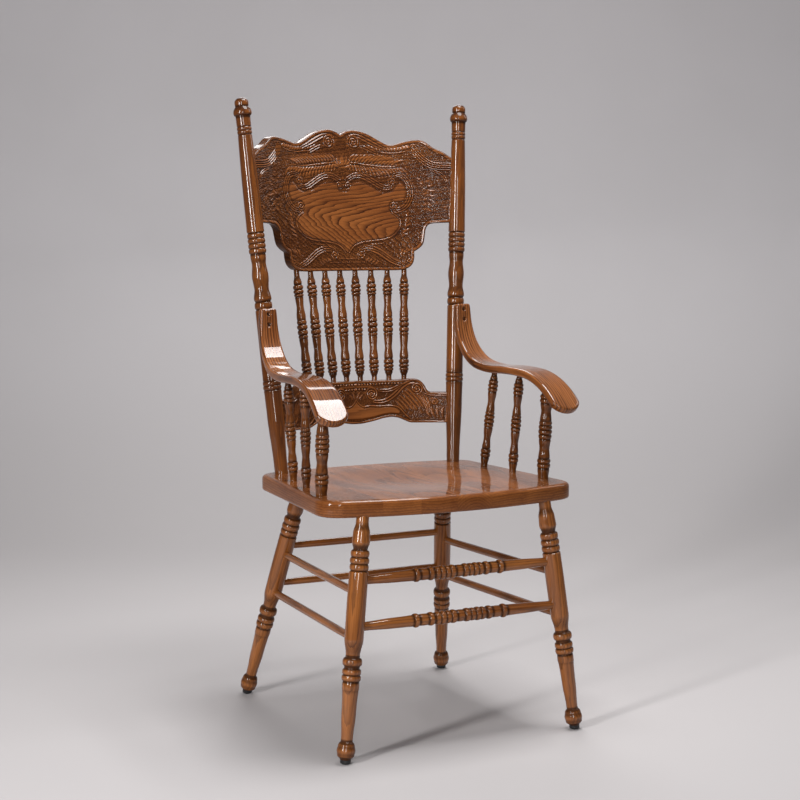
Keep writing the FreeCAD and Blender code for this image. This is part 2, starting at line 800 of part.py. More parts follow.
def band(sketch, label, arc, thickness):
    """The plan of a bowed board at one height, with its ends square to the bow."""
    corners = {}
    for face, sign in (("near", -1), ("far", 1)):
        radius = arc.radius + sign * thickness.value / 2
        share = radius / arc.radius
        half = arc.half * share
        end_y = arc.centre + math.sqrt(radius**2 - half**2)
        corners[face] = (half, end_y, arc.centre + radius)
    near = corners["near"]
    far = corners["far"]
    start = (-near[0], near[1])
    steps = [
        [(0, near[2]), (near[0], near[1])],
        [(far[0], far[1])],
        [(0, far[2]), (-far[0], far[1])],
        [start],
    ]
    draw(sketch, start, steps)


def mirrored_outline(shares, half, bottom, tall):
    """A closed outline from its right half: its start and its steps, round the middle line."""
    start = (ZERO, bottom + tall * 0)
    right = [[(half * x, bottom + tall * z) for x, z in step] for step in shares]
    left = []
    ends = [start] + [step[-1] for step in right]
    for number in range(len(right) - 1, -1, -1):
        step = right[number]
        back = [(-ends[number][0], ends[number][1])]
        if len(step) == 2:
            back = [(-step[0][0], step[0][1])] + back
        left.append(back)
    return start, right + left


def trim_panel(body, label, shares, half, bottom, tall, low, high):
    """Saws a bowed board to its outline, seen from the front."""
    sketch = new_sketch(body, label + "_outline", "XZ_Plane")
    start, steps = mirrored_outline(shares, half, bottom, tall)
    draw(sketch, start, steps)
    over = size("overrun")
    wide = half * 1.09 + over
    frame_start = (-wide, low - over)
    frame = [[(wide, low - over)], [(wide, high + over)], [(-wide, high + over)], [frame_start]]
    draw(sketch, frame_start, frame)
    cut = body.newObject("PartDesign::Pocket", label + "_sawing")
    cut.Profile = sketch
    cut.Type = "ThroughAll"
    cut.Midplane = True
    return cut


def cope_for_posts(body, label):
    """Hollows a panel's ends to fit round the posts, over the stretch of shaft that they meet."""
    for side, word in ((-1, "left"), (1, "right")):
        foot, tip = post_line(side)
        cone = body.newObject("PartDesign::SubtractiveCone", f"{label}_{word}_cope")
        low, high, thick, thin = cope_stretch(label)
        length = (tip - foot).Length
        fit = size("fit")
        bind(cone, Radius1=thick + fit, Radius2=thin + fit)
        cone.Height = length * (high - low)
        spot = Placement(between(foot, tip, low), Rotation(Vector(0, 0, 1), tip - foot))
        cone.Placement = body.Placement.inverse() * spot
        clear_rings(body, f"{label}_{word}_ring_room", between(foot, tip, low), unit(foot, tip), label)


def clear_rings(body, name, spot, up, label):
    """Keeps a panel clear of the turned rings next to the shaft that it meets."""
    way = -up if label == "crest_panel" else up
    if label == "lower_back_rail":
        spot = spot + up * (post_length() * cope_stretch(label)[1])
    radius = size("post_ring") / 2 + size("fit")
    subtract_cylinder(body, name, spot, way, radius, size("post_ring_pitch") * 5)


def post_length():
    foot, tip = post_line(1)
    return (tip - foot).Length


def cope_stretch(label):
    """The post's shaft beside a panel: its first and last share and its radius at each."""
    shaft = size("post_shaft") / 2
    if label == "crest_panel":
        return 0.650, 0.895, shaft, size("post_neck") / 2
    foot = size("post_foot") / 2
    return 0.0, 0.212, foot, shaft


def add_tongues(body, name):
    """The tongues at a panel's two ends."""
    for side, word in ((-1, "left"), (1, "right")):
        spot, thick, tall = tongues(side)[name]
        kind = "PartDesign::AdditiveBox"
        box_feature(body, kind, f"{name}_{word}_tongue", spot, size("tongue_length"), thick, tall)


def make_crest():
    """The bowed and sawn crest panel, with eight spindle sockets in its bottom edge."""
    label = "crest_panel"
    bottom = CREST_BOTTOM
    tall = size("crest_height")
    over = size("overrun")
    low = bottom - over
    high = bottom + tall + over
    body = bowed_panel(label, crest_bow, low, high, size("crest_thickness"))
    trim_panel(body, label, CREST_SHARES, crest_half(), bottom, tall, low, high)
    cope_for_posts(body, label)
    add_tongues(body, "crest")
    for number in range(SPINDLES):
        low_end, high_end = back_spindle_line(number)
        way = unit(low_end, high_end)
        depth = size("spindle_socket_depth")
        socket(body, f"crest_socket_{number + 1}", high_end, way, size("spindle_dowel"), depth)


def make_rail():
    """The bowed and sawn lower back rail, with eight spindle sockets in its top edge."""
    label = "lower_back_rail"
    bottom = RAIL_BOTTOM
    tall = size("rail_height")
    over = size("overrun")
    low = bottom - over
    high = bottom + tall + over
    body = bowed_panel(label, rail_bow, low, high, size("rail_thickness"))
    trim_panel(body, label, RAIL_SHARES, rail_half(), bottom, tall, low, high)
    cope_for_posts(body, label)
    add_tongues(body, "rail")
    for number in range(SPINDLES):
        low_end, high_end = back_spindle_line(number)
        way = unit(high_end, low_end)
        depth = size("spindle_socket_depth")
        socket(body, f"rail_socket_{number + 1}", low_end, way, size("spindle_dowel"), depth)


SPINDLES = 8


def back_spindle_line(number):
    """A back spindle's axis, from the rail's top edge to the crest's bottom edge."""
    place = number - (SPINDLES - 1) / 2
    low = rail_bow(RAIL_BOTTOM + size("rail_height")).at(size("spindle_pitch_low").value * place)
    high = crest_bow(CREST_BOTTOM).at(size("spindle_pitch_high").value * place)
    return low, high


def spindle_outline(kind, length, foot, sunk, dowel, top, groups):
    """A turned spindle: groups of beads near its ends and at its middle, and slim waists between."""
    bead = size(f"{kind}_bead")
    groove = size(f"{kind}_groove")
    pitch = size(f"{kind}_bead_pitch")
    waist = size(f"{kind}_waist") / 2
    low, middle, high = groups
    steps = [[(foot / 2, -sunk)], [(foot / 2, length * 0.04)]]
    steps += rings(length * low, 2, pitch, bead, groove)
    steps += [[(waist, length * ((low + middle) / 2))]]
    steps += rings(length * middle, 3, pitch, bead, groove)
    steps += [[(waist, length * ((middle + high) / 2))]]
    steps += rings(length * high, 2, pitch, bead, groove)
    steps += [[(dowel / 2, length - size(f"{kind}_dowel_length"))], [(dowel / 2, top)]]
    return steps


def make_back_spindle(number):
    """One of the eight slim spindles of the back."""
    label = f"back_spindle_{number + 1}"
    low, high = back_spindle_line(number)
    length = axis_length(label + "_length", low, high)
    depth = size("spindle_socket_depth")
    dowel = size("spindle_dowel")
    top = length + depth
    outline = spindle_outline("spindle", length, dowel, depth, dowel, top, (0.148, 0.5, 0.845))
    turned(label, low, high, -depth, top, outline)


def arm_spindle_kind(which):
    return "arm_support" if which == "front" else "arm_spindle"


def arm_foot_size(which):
    return size(arm_spindle_kind(which) + "_foot")


def arm_dowel_size(which):
    return size(arm_spindle_kind(which) + "_dowel")


def make_arm_spindle(side, word, which):
    """A spindle between the seat and the arm; the front one is the stout arm support."""
    label = f"{word}_arm_{which}_spindle"
    foot, top = arm_spindle_line(side, which)
    length = axis_length(label + "_length", foot, top)
    depth = size("arm_foot_depth")
    base = arm_foot_size(which)
    dowel = arm_dowel_size(which)
    groups = (0.16, 0.5, 0.84) if which == "front" else (0.145, 0.475, 0.82)
    outline = spindle_outline(arm_spindle_kind(which), length, base, depth, dowel, length, groups)
    turned(label, foot, top, -depth, length, outline)


def make_arm(side, word):
    """A bent strip that widens to a rounded, drooping tip, screwed to the front of its post."""
    label = f"{word}_arm"
    body = new_body(label, arm_placement(side))
    path = arm_path_sketch(body, label)
    legs = arm_path()
    top_turn = Rotation(Vector(1, 0, 0), -size("arm_lean_angle").value)
    bend_turn = Rotation(Vector(1, 0, 0), legs[1][3] - 90)
    tip_turn = Rotation(Vector(1, 0, 0), legs[-1][3] - 90)
    top = arm_section(body, label + "_top_end", size("arm_back_width"), Vector(), top_turn)
    bend = arm_section(body, label + "_bend_end", size("arm_bend_width"), legs[1][2], bend_turn)
    tip = arm_section(body, label + "_tip_end", size("arm_front_width"), legs[-1][2], tip_turn)
    sweep = body.newObject("PartDesign::AdditivePipe", label + "_strip")
    sweep.Profile = top
    sweep.Spine = path
    sweep.Sections = [bend, tip]
    sweep.Transformation = "Multisection"
    sweep.Mode = "Binormal"
    sweep.Binormal = Vector(1, 0, 0)
    round_arm_tip(body, label, legs[-1][2], tip_turn)
    for which in ARM_SPINDLES:
        bore_for_arm_spindle(body, label, side, which)
    for number in (0, 1):
        sink_arm_screw(body, label, side, number)


def bore_for_arm_spindle(body, label, side, which):
    """A blind hole from below for the top of an arm spindle."""
    foot, top = arm_spindle_line(side, which)
    way = unit(foot, top)
    below = size("overrun") + size("arm_thickness") / 2
    radius = arm_dowel_size(which) / 2 + size("fit")
    start = top - way * below.value
    subtract_cylinder(body, f"{label}_{which}_socket", start, way, radius, below + size("end_room"))


def sink_arm_screw(body, label, side, number):
    """A screw hole through the strip, with a flat-bottomed sinking for the head."""
    head, way = screw_spot(side, number)
    fit = size("fit")
    over = size("overrun")
    start = head - way * over.value
    name = f"{label}_screw_{number}"
    shank = size("screw_shank") / 2 + fit
    subtract_cylinder(body, name + "_hole", start, way, shank, over + size("arm_thickness") * 2)
    sinking = size("screw_head") / 2 + fit
    deep = over + size("screw_head_height") + fit
    subtract_cylinder(body, name + "_sinking", start, way, sinking, deep)


def arm_path_sketch(body, label):
    """The strip's middle line in the arm's side view."""
    sketch = new_sketch(body, label + "_path", "YZ_Plane")
    for start, middle, end, _ in arm_path():
        first = Vector(start.y, start.z, 0)
        last = Vector(end.y, end.z, 0)
        if middle is None:
            piece = Part.LineSegment(first, last)
        else:
            piece = Part.Arc(first, Vector(middle.y, middle.z, 0), last)
        sketch.addGeometry(piece, False)
    return sketch


def arm_section(body, name, width, spot, turn):
    """The strip's cross-section, a flat bar with rounded arrises, square to the path."""
    sketch = new_sketch(body, name, "XY_Plane", Placement(spot, turn))
    half = width / 2
    deep = size("arm_thickness") / 2
    edge = size("arm_edge_round")
    soft = edge * 0.293
    start = (-(half - edge), -deep)
    steps = [
        [(half - edge, -deep)],
        [(half - soft, -(deep - soft)), (half, -(deep - edge))],
        [(half, deep - edge)],
        [(half - soft, deep - soft), (half - edge, deep)],
        [(-(half - edge), deep)],
        [(-(half - soft), deep - soft), (-half, deep - edge)],
        [(-half, -(deep - edge))],
        [(-(half - soft), -(deep - soft)), start],
    ]
    draw(sketch, start, steps)
    return sketch


def round_arm_tip(body, label, end, turn):
    """Rounds the arm's tip, seen square to the strip."""
    flat = turn * Rotation(Vector(1, 0, 0), 90)
    sketch = new_sketch(body, label + "_tip_outline", "XY_Plane", Placement(end, flat))
    half = size("arm_front_width") / 2
    deep = size("arm_tip_round")
    over = size("overrun")
    start = (-half, deep)
    steps = [
        [(ZERO, ZERO), (half, deep)],
        [(half + over, deep)],
        [(half + over, -over)],
        [(-(half + over), -over)],
        [(-(half + over), deep)],
        [start],
    ]
    draw(sketch, start, steps)
    cut = body.newObject("PartDesign::Pocket", label + "_tip_rounding")
    cut.Profile = sketch
    cut.Midplane = True
    bind(cut, Length=size("arm_thickness") * 2)


# Screws


def screw_spot(side, number):
    """The middle of a sunk screw head's top and the way that the screw points, into the post."""
    frame = arm_top_frame(side)
    down = size("screw_first") + size("screw_pitch") * number
    face = size("arm_thickness") / -2 + size("screw_sink")
    head = frame.multVec(point(0, face, -down))
    return head, frame.Rotation.multVec(Vector(0, 1, 0))


def make_screws(side, word):
    """The two screws that hold an arm to its post."""
    label = f"{word}_arm_screws"
    screws = []
    for number in (0, 1):
        head, way = screw_spot(side, number)
        cap = Part.makeCylinder(size("screw_head").value / 2, size("screw_head_height").value, head, way)
        shank = Part.makeCylinder(size("screw_shank").value / 2, size("screw_length").value, head, way)
        screws.append(cap.fuse(shank).removeSplitter())
    group = doc.addObject("Part::Feature", label)
    group.Label = label
    group.Shape = Part.makeCompound(screws)
    subparts.append(group)


def faults(item):
    """What is wrong with a sub-part: features that failed and a missing or broken solid."""
    found = []
    for feature in [item] + list(getattr(item, "Group", [])):
        if "Invalid" in feature.State or "Error" in feature.State:
            found.append(f"{feature.Label} failed: {feature.State}")
    if item.Shape.isNull() or not item.Shape.isValid() or not item.Shape.Solids:
        found.append(f"{item.Label} has no valid solid")
    return found


def build():
    make_seat()
    for side, word in ((-1, "left"), (1, "right")):
        for row in ("front", "rear"):
            make_leg(side, row, word)
            make_glide(side, row, word)
        make_post(side, word)
        make_arm(side, word)
        make_screws(side, word)
        for which in ARM_SPINDLES:
            make_arm_spindle(side, word, which)
    for name, ends in stretcher_lines().items():
        make_stretcher(name, ends)
    make_crest()
    make_rail()
    for number in range(SPINDLES):
        make_back_spindle(number)
    doc.recompute()
    os.makedirs("parts", exist_ok=True)
    wrong = [fault for item in subparts for fault in faults(item)]
    if wrong:
        raise RuntimeError("; ".join(wrong))
    for item in subparts:
        item.Shape.exportStep(f"parts/{item.Label}.step")
        print(item.Label, len(item.Shape.Solids), round(item.Shape.Volume / 1000, 2), "cm3")


build()
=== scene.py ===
"""An oak press-back armchair: turned legs and posts, bent arms, a carved crest and a solid seat.

Lengths are in metres and angles in radians unless a name says otherwise. The front of the chair
faces -Y, Z is up and the origin is on the floor under the middle of the seat.
"""

from __future__ import annotations

import logging
import math
from dataclasses import dataclass
from enum import Enum

import bpy
import numpy as np
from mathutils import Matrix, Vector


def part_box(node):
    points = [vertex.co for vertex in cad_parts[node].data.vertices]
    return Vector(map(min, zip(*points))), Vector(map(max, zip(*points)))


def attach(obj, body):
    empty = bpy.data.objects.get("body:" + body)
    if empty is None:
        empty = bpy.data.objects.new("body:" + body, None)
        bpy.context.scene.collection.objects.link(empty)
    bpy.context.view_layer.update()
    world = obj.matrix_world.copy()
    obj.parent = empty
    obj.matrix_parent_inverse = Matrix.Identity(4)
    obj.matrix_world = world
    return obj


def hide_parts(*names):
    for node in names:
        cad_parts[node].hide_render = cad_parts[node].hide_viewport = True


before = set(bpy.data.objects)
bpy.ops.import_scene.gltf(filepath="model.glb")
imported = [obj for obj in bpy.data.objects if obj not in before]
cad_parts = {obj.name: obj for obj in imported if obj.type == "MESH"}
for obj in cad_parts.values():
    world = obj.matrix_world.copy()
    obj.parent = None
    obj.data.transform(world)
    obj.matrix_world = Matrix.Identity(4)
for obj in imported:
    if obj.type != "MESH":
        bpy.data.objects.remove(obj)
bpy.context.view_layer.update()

log = logging.getLogger("armchair")

MM = 0.001
FLOOR_UP = np.array([0.0, 0.0, 1.0])
SIDES = {"left": -1.0, "right": 1.0}
FINISHED = "_finished"
OAK_SLOT = "stained_oak"
PLASTIC_SLOT = "black_glide"
STEEL_SLOT = "dark_screw"
SMALLEST = 1e-9

Pair = tuple[float, float]
Triple = tuple[float, float, float]
Dressed = tuple[bpy.types.Object, str]


# Small sums


def unit(vector: np.ndarray) -> np.ndarray:
    """The vector at length one."""
    return vector / np.linalg.norm(vector)


def place(x: float, y: float, z: float) -> np.ndarray:
    """A point in metres from three lengths in millimetres."""
    return np.array([x, y, z]) * MM


def mirrored(point: np.ndarray, side: float) -> np.ndarray:
    """A point of the right half, or its mirror image when side is -1."""
    return point * np.array([side, 1.0, 1.0])


def eased(share: np.ndarray) -> np.ndarray:
    """Runs from 0 to 1 with level ends: three shares squared less two shares cubed."""
    held = np.clip(share, 0.0, 1.0)
    return held * held * (3.0 - 2.0 * held)


def curve_through(points: np.ndarray, steps: int) -> np.ndarray:
    """A smooth curve through points.

    Between two points it is the Catmull-Rom cubic: each point's tangent is half the way from the
    point before to the point after, and the four Hermite weights blend points and tangents.

    Args:
        points: the points, one row each.
        steps: how many steps there are between two points.

    Returns:
        The points of the curve, one row each.
    """
    padded = np.vstack([2 * points[0] - points[1], points, 2 * points[-1] - points[-2]])
    tangents = (padded[2:] - padded[:-2]) / 2
    share = np.linspace(0, 1, steps, endpoint=False)[None, :, None]
    start, end = points[:-1, None], points[1:, None]
    leave, arrive = tangents[:-1, None], tangents[1:, None]
    square, cube = share**2, share**3
    body = (
        (2 * cube - 3 * square + 1) * start
        + (cube - 2 * square + share) * leave
        + (3 * square - 2 * cube) * end
        + (cube - square) * arrive
    )
    return np.vstack([body.reshape(-1, points.shape[1]), points[-1:]])


def lengths_along(line: np.ndarray) -> np.ndarray:
    """How far each point of a line lies from its start: the running sum of its steps."""
    steps = np.linalg.norm(np.diff(line, axis=0), axis=1)
    return np.concatenate([[0.0], np.cumsum(steps)])


def even_stations(line: np.ndarray, count: int) -> np.ndarray:
    """The same line with a given number of evenly spaced points."""
    along = lengths_along(line)
    wanted = np.linspace(0, along[-1], count)
    return np.stack([np.interp(wanted, along, line[:, axis]) for axis in range(line.shape[1])], axis=1)


# Meshes


def skin(name: str, loops: np.ndarray, grain: np.ndarray, stain: np.ndarray) -> bpy.types.Object:
    """Skins a stack of closed loops and closes both ends with a face.

    Neighbouring loops are joined by four-sided faces. The loops run anticlockwise when seen from
    beyond the last one, so that the faces point outwards.

    Args:
        name: the piece's name.
        loops: points as an array of rows, points around and three coordinates.
        grain: the wood's own coordinates at each point, with the third one along the fibres.
        stain: how dark the surface is painted at each point, from 0 to 1: stain, and painted shade in
            grooves, hollows, edges and holes.

    Returns:
        The piece, with point attributes named grain and stain.
    """
    rows, around, _ = loops.shape
    index = np.arange(rows * around).reshape(rows, around)
    beside = np.roll(index, -1, axis=1)
    quads = np.stack([index[:-1], beside[:-1], beside[1:], index[1:]], axis=-1).reshape(-1, 4)
    corners = np.concatenate([quads.ravel(), index[0][::-1], index[-1]]).astype(np.int32)
    totals = np.concatenate([np.full(len(quads), 4), [around, around]]).astype(np.int32)
    starts = np.concatenate([[0], np.cumsum(totals)[:-1]]).astype(np.int32)
    mesh = bpy.data.meshes.new(name + FINISHED)
    mesh.vertices.add(rows * around)
    mesh.loops.add(len(corners))
    mesh.polygons.add(len(totals))
    mesh.vertices.foreach_set("co", loops.astype(np.float32).ravel())
    mesh.loops.foreach_set("vertex_index", corners)
    mesh.polygons.foreach_set("loop_start", starts)
    mesh.polygons.foreach_set("loop_total", totals)
    mesh.polygons.foreach_set("use_smooth", np.ones(len(totals), dtype=bool))
    mesh.update(calc_edges=True)
    places = mesh.attributes.new("grain", "FLOAT_VECTOR", "POINT")
    places.data.foreach_set("vector", grain.astype(np.float32).ravel())
    depths = mesh.attributes.new("stain", "FLOAT", "POINT")
    depths.data.foreach_set("value", stain.astype(np.float32).ravel())
    mesh.validate()
    piece = bpy.data.objects.new(name + FINISHED, mesh)
    bpy.context.scene.collection.objects.link(piece)
    return piece


def dressed(piece: bpy.types.Object, material: bpy.types.Material, slot: str = OAK_SLOT) -> Dressed:
    """The piece with its material on it, and the record's slot that it is finished from."""
    piece.data.materials.append(material)
    return piece, slot


def fit_to_frame(piece: bpy.types.Object) -> None:
    """Lets a piece stand for its node of the frame, and logs how well their boxes agree.

    Args:
        piece: the finished piece, named after its node.
    """
    node = piece.name.removesuffix(FINISHED)
    low, high = (np.array(corner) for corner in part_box(node))
    points = np.empty(len(piece.data.vertices) * 3, dtype=np.float32)
    piece.data.vertices.foreach_get("co", points)
    points = points.reshape(-1, 3)
    off = max(np.abs(points.min(axis=0) - low).max(), np.abs(points.max(axis=0) - high).max())
    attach(piece, "root")
    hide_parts(node)
    log.info("%s: %d faces, box off by %.1f mm", piece.name, len(piece.data.polygons), off / MM)


# Materials


class Wire:
    """A value on its way through a material, which can be used in sums like a number."""

    def __init__(self, recipe: "Recipe", socket: bpy.types.NodeSocket) -> None:
        """Holds the socket that gives the value."""
        self.recipe = recipe
        self.socket = socket

    def __add__(self, other: "Wire | float") -> "Wire":
        """The sum."""
        return self.recipe.maths("ADD", self, other)

    __radd__ = __add__

    def __sub__(self, other: "Wire | float") -> "Wire":
        """The difference."""
        return self.recipe.maths("SUBTRACT", self, other)

    def __rsub__(self, other: "Wire | float") -> "Wire":
        """A number less this value."""
        return self.recipe.maths("SUBTRACT", other, self)

    def __mul__(self, other: "Wire | float") -> "Wire":
        """The product."""
        return self.recipe.maths("MULTIPLY", self, other)

    __rmul__ = __mul__

    def __truediv__(self, other: "Wire | float") -> "Wire":
        """The quotient."""
        return self.recipe.maths("DIVIDE", self, other)


class Recipe:
    """The nodes of one material."""

    def __init__(self, name: str) -> None:
        """Starts an empty node material."""
        self.material = bpy.data.materials.new(name)
        self.material.use_nodes = True
        self.tree = self.material.node_tree
        self.tree.nodes.clear()

    def node(
        self,
        kind: str,
        settings: dict | None = None,
        inputs: dict | None = None,
        output: int | str = 0,
    ) -> Wire:
        """Adds a node.

        Args:
            kind: the node's type.
            settings: its properties, and under "stops" the places and colours of a ramp.
            inputs: values or wires for its sockets, by name or number.
            output: which output to give.

        Returns:
            The wire of that output.
        """
        made = self.tree.nodes.new(kind)
        for key, value in (settings or {}).items():
            if key == "stops":
                self.fill_ramp(made.color_ramp, value)
            else:
                setattr(made, key, value)
        for key, value in (inputs or {}).items():
            if isinstance(value, Wire):
                self.tree.links.new(value.socket, made.inputs[key])
            else:
                made.inputs[key].default_value = value
        return Wire(self, made.outputs[output])

    @staticmethod
    def fill_ramp(ramp: bpy.types.ColorRamp, stops: list[tuple[float, tuple]]) -> None:
        """Sets a ramp's stops from a list of places and colours."""
        while len(ramp.elements) < len(stops):
            ramp.elements.new(1.0)
        for element, (spot, colour) in zip(ramp.elements, stops):
            element.position = spot
            element.color = (*colour, 1.0)

    def maths(self, operation: str, *terms: Wire | float, held: bool = False) -> Wire:
        """A sum of the maths node, held between 0 and 1 where asked."""
        settings = {"operation": operation, "use_clamp": held}
        return self.node("ShaderNodeMath", settings, dict(enumerate(terms)))

    def attribute(self, name: str, output: str) -> Wire:
        """One of the piece's own attributes."""
        return self.node("ShaderNodeAttribute", {"attribute_name": name}, output=output)

    def coordinate(self, vector: Wire, axis: str) -> Wire:
        """The X, Y or Z of a vector."""
        return self.node("ShaderNodeSeparateXYZ", None, {0: vector}, axis)

    def scaled(self, vector: Wire, factors: Triple) -> Wire:
        """The vector with each coordinate times its own factor."""
        return self.node("ShaderNodeVectorMath", {"operation": "MULTIPLY"}, {0: vector, 1: factors})

    def noise(self, vector: Wire, factors: Triple, detail: float = 2.0) -> Wire:
        """Cloudy noise from 0 to 1 whose cells are one over the factors wide."""
        inputs = {"Vector": self.scaled(vector, factors), "Scale": 1.0, "Detail": detail}
        return self.node("ShaderNodeTexNoise", None, inputs)

    def between(self, value: Wire, low: float, high: float) -> Wire:
        """Runs smoothly from 0 to 1 as the value goes from low to high."""
        inputs = {"Value": value, "From Min": low, "From Max": high, "To Min": 0.0, "To Max": 1.0}
        return self.node("ShaderNodeMapRange", {"interpolation_type": "SMOOTHSTEP"}, inputs)

    def mixed(self, share: Wire | float, first: Wire | tuple, second: Wire | tuple) -> Wire:
        """The first colour, going over to the second, in sockets 6 and 7, as the share goes to 1."""
        settings = {"data_type": "RGBA"}
        colours = [tint if isinstance(tint, Wire) else (*tint, 1.0) for tint in (first, second)]
        inputs = {0: share, 6: colours[0], 7: colours[1]}
        return self.node("ShaderNodeMix", settings, inputs, output=2)

    def bump(self, height: Wire, depth: float, strength: float) -> Wire:
        """The surface normal of a relief whose height of 1 is a depth in metres."""
        inputs = {"Height": height, "Distance": depth, "Strength": strength}
        return self.node("ShaderNodeBump", None, inputs)

    def surface(self, inputs: dict) -> bpy.types.Material:
        """Ends the material with a Principled surface and gives the material."""
        shader = self.node("ShaderNodeBsdfPrincipled", None, inputs)
        end = self.tree.nodes.new("ShaderNodeOutputMaterial")
        self.tree.links.new(shader.socket, end.inputs["Surface"])
        return self.material


@dataclass(frozen=True)
class StainedOak:
    """Open-grained oak under brown stain and a clear lacquer.

    The growth rings are cones round a pith that lies off the board, so a flat board shows arched
    figure. Each ring starts with a dark porous line that fades outwards. The grain attribute
    gives the place in the log: its third coordinate runs along the fibres. Cells are how many
    cells of noise go into a metre along the log's three coordinates.
    """

    name: str
    pale: Triple = (0.270, 0.089, 0.021)
    middle: Triple = (0.150, 0.043, 0.009)
    dark: Triple = (0.036, 0.009, 0.002)
    # Near-black colour for held stain and for painted shade in grooves, carved hollows, edges and holes.
    stain_and_shade_colour: Triple = (0.020, 0.006, 0.002)
    ring_width: float = 0.0062
    ring_fade: float = 2.2
    ring_start: float = 0.07
    pith: Pair = (0.004, 0.035)
    ring_taper: float = 0.09
    lean: float = 0.0
    wander: float = 0.020
    ripple: float = 0.0022
    raggedness: float = 0.55
    run_spread: float = 1.3
    board_width: float = 0.0
    next_board: Pair = (0.37, 1.7)
    figure: float = 1.0
    roughness: float = 0.40
    lacquer: float = 1.0
    lacquer_index: float = 1.42
    lacquer_roughness: float = 0.045
    sheen_under_lacquer: float = 0.05
    grit: float = 0.0
    pore_depth: float = 0.00022
    strand_cells: Triple = (420.0, 420.0, 11.0)
    pore_cells: Triple = (1250.0, 1250.0, 48.0)
    cloud_cells: Triple = (22.0, 22.0, 5.0)
    grit_cells: Triple = (520.0, 520.0, 520.0)
    wander_cells: Triple = (9.0, 9.0, 2.2)
    ripple_cells: Triple = (55.0, 55.0, 9.0)
    ragged_cells: Triple = (260.0, 260.0, 30.0)

    def material(self) -> bpy.types.Material:
        """Makes the finish."""
        mix = Recipe(self.name)
        spot = self.log_place(mix)
        strands = mix.noise(spot, self.strand_cells, 3.0)
        cloud = mix.noise(spot, self.cloud_cells, 2.0)
        early = self.early_wood(mix, self.ring_count(mix, spot))
        pores = mix.between(mix.noise(spot, self.pore_cells, 1.0), 0.53, 0.66)
        specks = pores * (0.25 + 0.75 * early)
        dark_line = mix.maths("MULTIPLY", early, self.figure * (0.55 + 0.9 * strands), held=True)
        tone = mix.between(strands * 0.55 + cloud * 0.75, 0.42, 0.90)
        wood = mix.mixed(tone, self.middle, self.pale)
        wood = mix.mixed(dark_line, wood, self.dark)
        wood = mix.mixed(specks * 0.55, wood, self.dark)
        # Painted shade as well as stain: the stain attribute darkens the colour and thins the lacquer in
        # grooves, hollows, edges and holes.
        stained_and_shaded = mix.maths("MULTIPLY", mix.attribute("stain", "Fac"), 0.9, held=True)
        grit = mix.noise(spot, self.grit_cells, 2.0)
        height = 1.0 - specks * 0.8 - strands * 0.12 + grit * stained_and_shaded * self.grit
        return mix.surface(
            {
                "Base Color": mix.mixed(stained_and_shaded, wood, self.stain_and_shade_colour),
                "Roughness": self.roughness + 0.14 * specks + 0.08 * cloud,
                "Normal": mix.bump(height, self.pore_depth, 0.6),
                "Coat Weight": self.lacquer * (1.0 - stained_and_shaded * 0.85),
                "Coat Roughness": self.lacquer_roughness,
                "Coat IOR": self.lacquer_index,
                "Specular IOR Level": self.sheen_under_lacquer,
            }
        )

    def early_wood(self, mix: Recipe, rings: Wire) -> Wire:
        """The dark start of each ring, bolder in some rings than in others."""
        ring = mix.maths("FRACT", rings)
        number = mix.maths("FLOOR", rings)
        bold = mix.node("ShaderNodeTexWhiteNoise", {"noise_dimensions": "1D"}, {"W": number})
        fading = mix.maths("POWER", 1.0 - ring, self.ring_fade) * (0.6 + 0.45 * bold)
        return fading * mix.between(ring, 0.0, self.ring_start)

    def log_place(self, mix: Recipe) -> Wire:
        """The place in the log, with a fresh log for each board of a glued-up seat."""
        spot = mix.attribute("grain", "Vector")
        if not self.board_width:
            return spot
        board = mix.maths("FLOOR", mix.coordinate(spot, "X") / self.board_width)
        deeper, further = self.next_board
        steps = {"X": board * -self.board_width, "Y": board * deeper, "Z": board * further}
        shift = mix.node("ShaderNodeCombineXYZ", None, steps)
        return mix.node("ShaderNodeVectorMath", {"operation": "ADD"}, {0: spot, 1: shift})

    def ring_count(self, mix: Recipe, spot: Wire) -> Wire:
        """How many growth rings lie between the pith and a place. Wide rings come in runs."""
        wave = mix.noise(spot, self.wander_cells, 2.0)
        ripple = mix.noise(spot, self.ripple_cells, 1.0)
        ragged = mix.noise(spot, self.ragged_cells, 2.0)
        along = mix.coordinate(spot, "Z")
        across = mix.coordinate(spot, "X") - self.pith[0] - along * self.lean
        deep = mix.coordinate(spot, "Y") - self.pith[1]
        radius = mix.maths("SQRT", across * across + deep * deep)
        bent = radius + along * self.ring_taper + wave * self.wander + ripple * self.ripple
        rings = (bent + ragged * (self.raggedness * self.ring_width)) / self.ring_width
        order = mix.node("ShaderNodeCombineXYZ", None, {"X": rings})
        return rings + mix.noise(order, (0.4, 1.0, 1.0), 1.0) * self.run_spread


@dataclass(frozen=True)
class BlackPlastic:
    """Moulded black plastic with a faint uneven gloss and paler scuffs."""

    name: str
    clean: Triple = (0.010, 0.010, 0.011)
    scuffed: Triple = (0.026, 0.025, 0.024)
    roughness: float = 0.30
    orange_peel: float = 0.0001

    def material(self) -> bpy.types.Material:
        """Makes the finish."""
        mix = Recipe(self.name)
        spot = mix.node("ShaderNodeTexCoord", output="Object")
        cloud = mix.noise(spot, (900.0, 900.0, 900.0), 3.0)
        scuffs = mix.between(mix.noise(spot, (160.0, 160.0, 60.0), 2.0), 0.5, 0.75)
        return mix.surface(
            {
                "Base Color": mix.mixed(scuffs, self.clean, self.scuffed),
                "Roughness": self.roughness + 0.25 * scuffs,
                "Normal": mix.bump(cloud, self.orange_peel, 0.3),
            }
        )


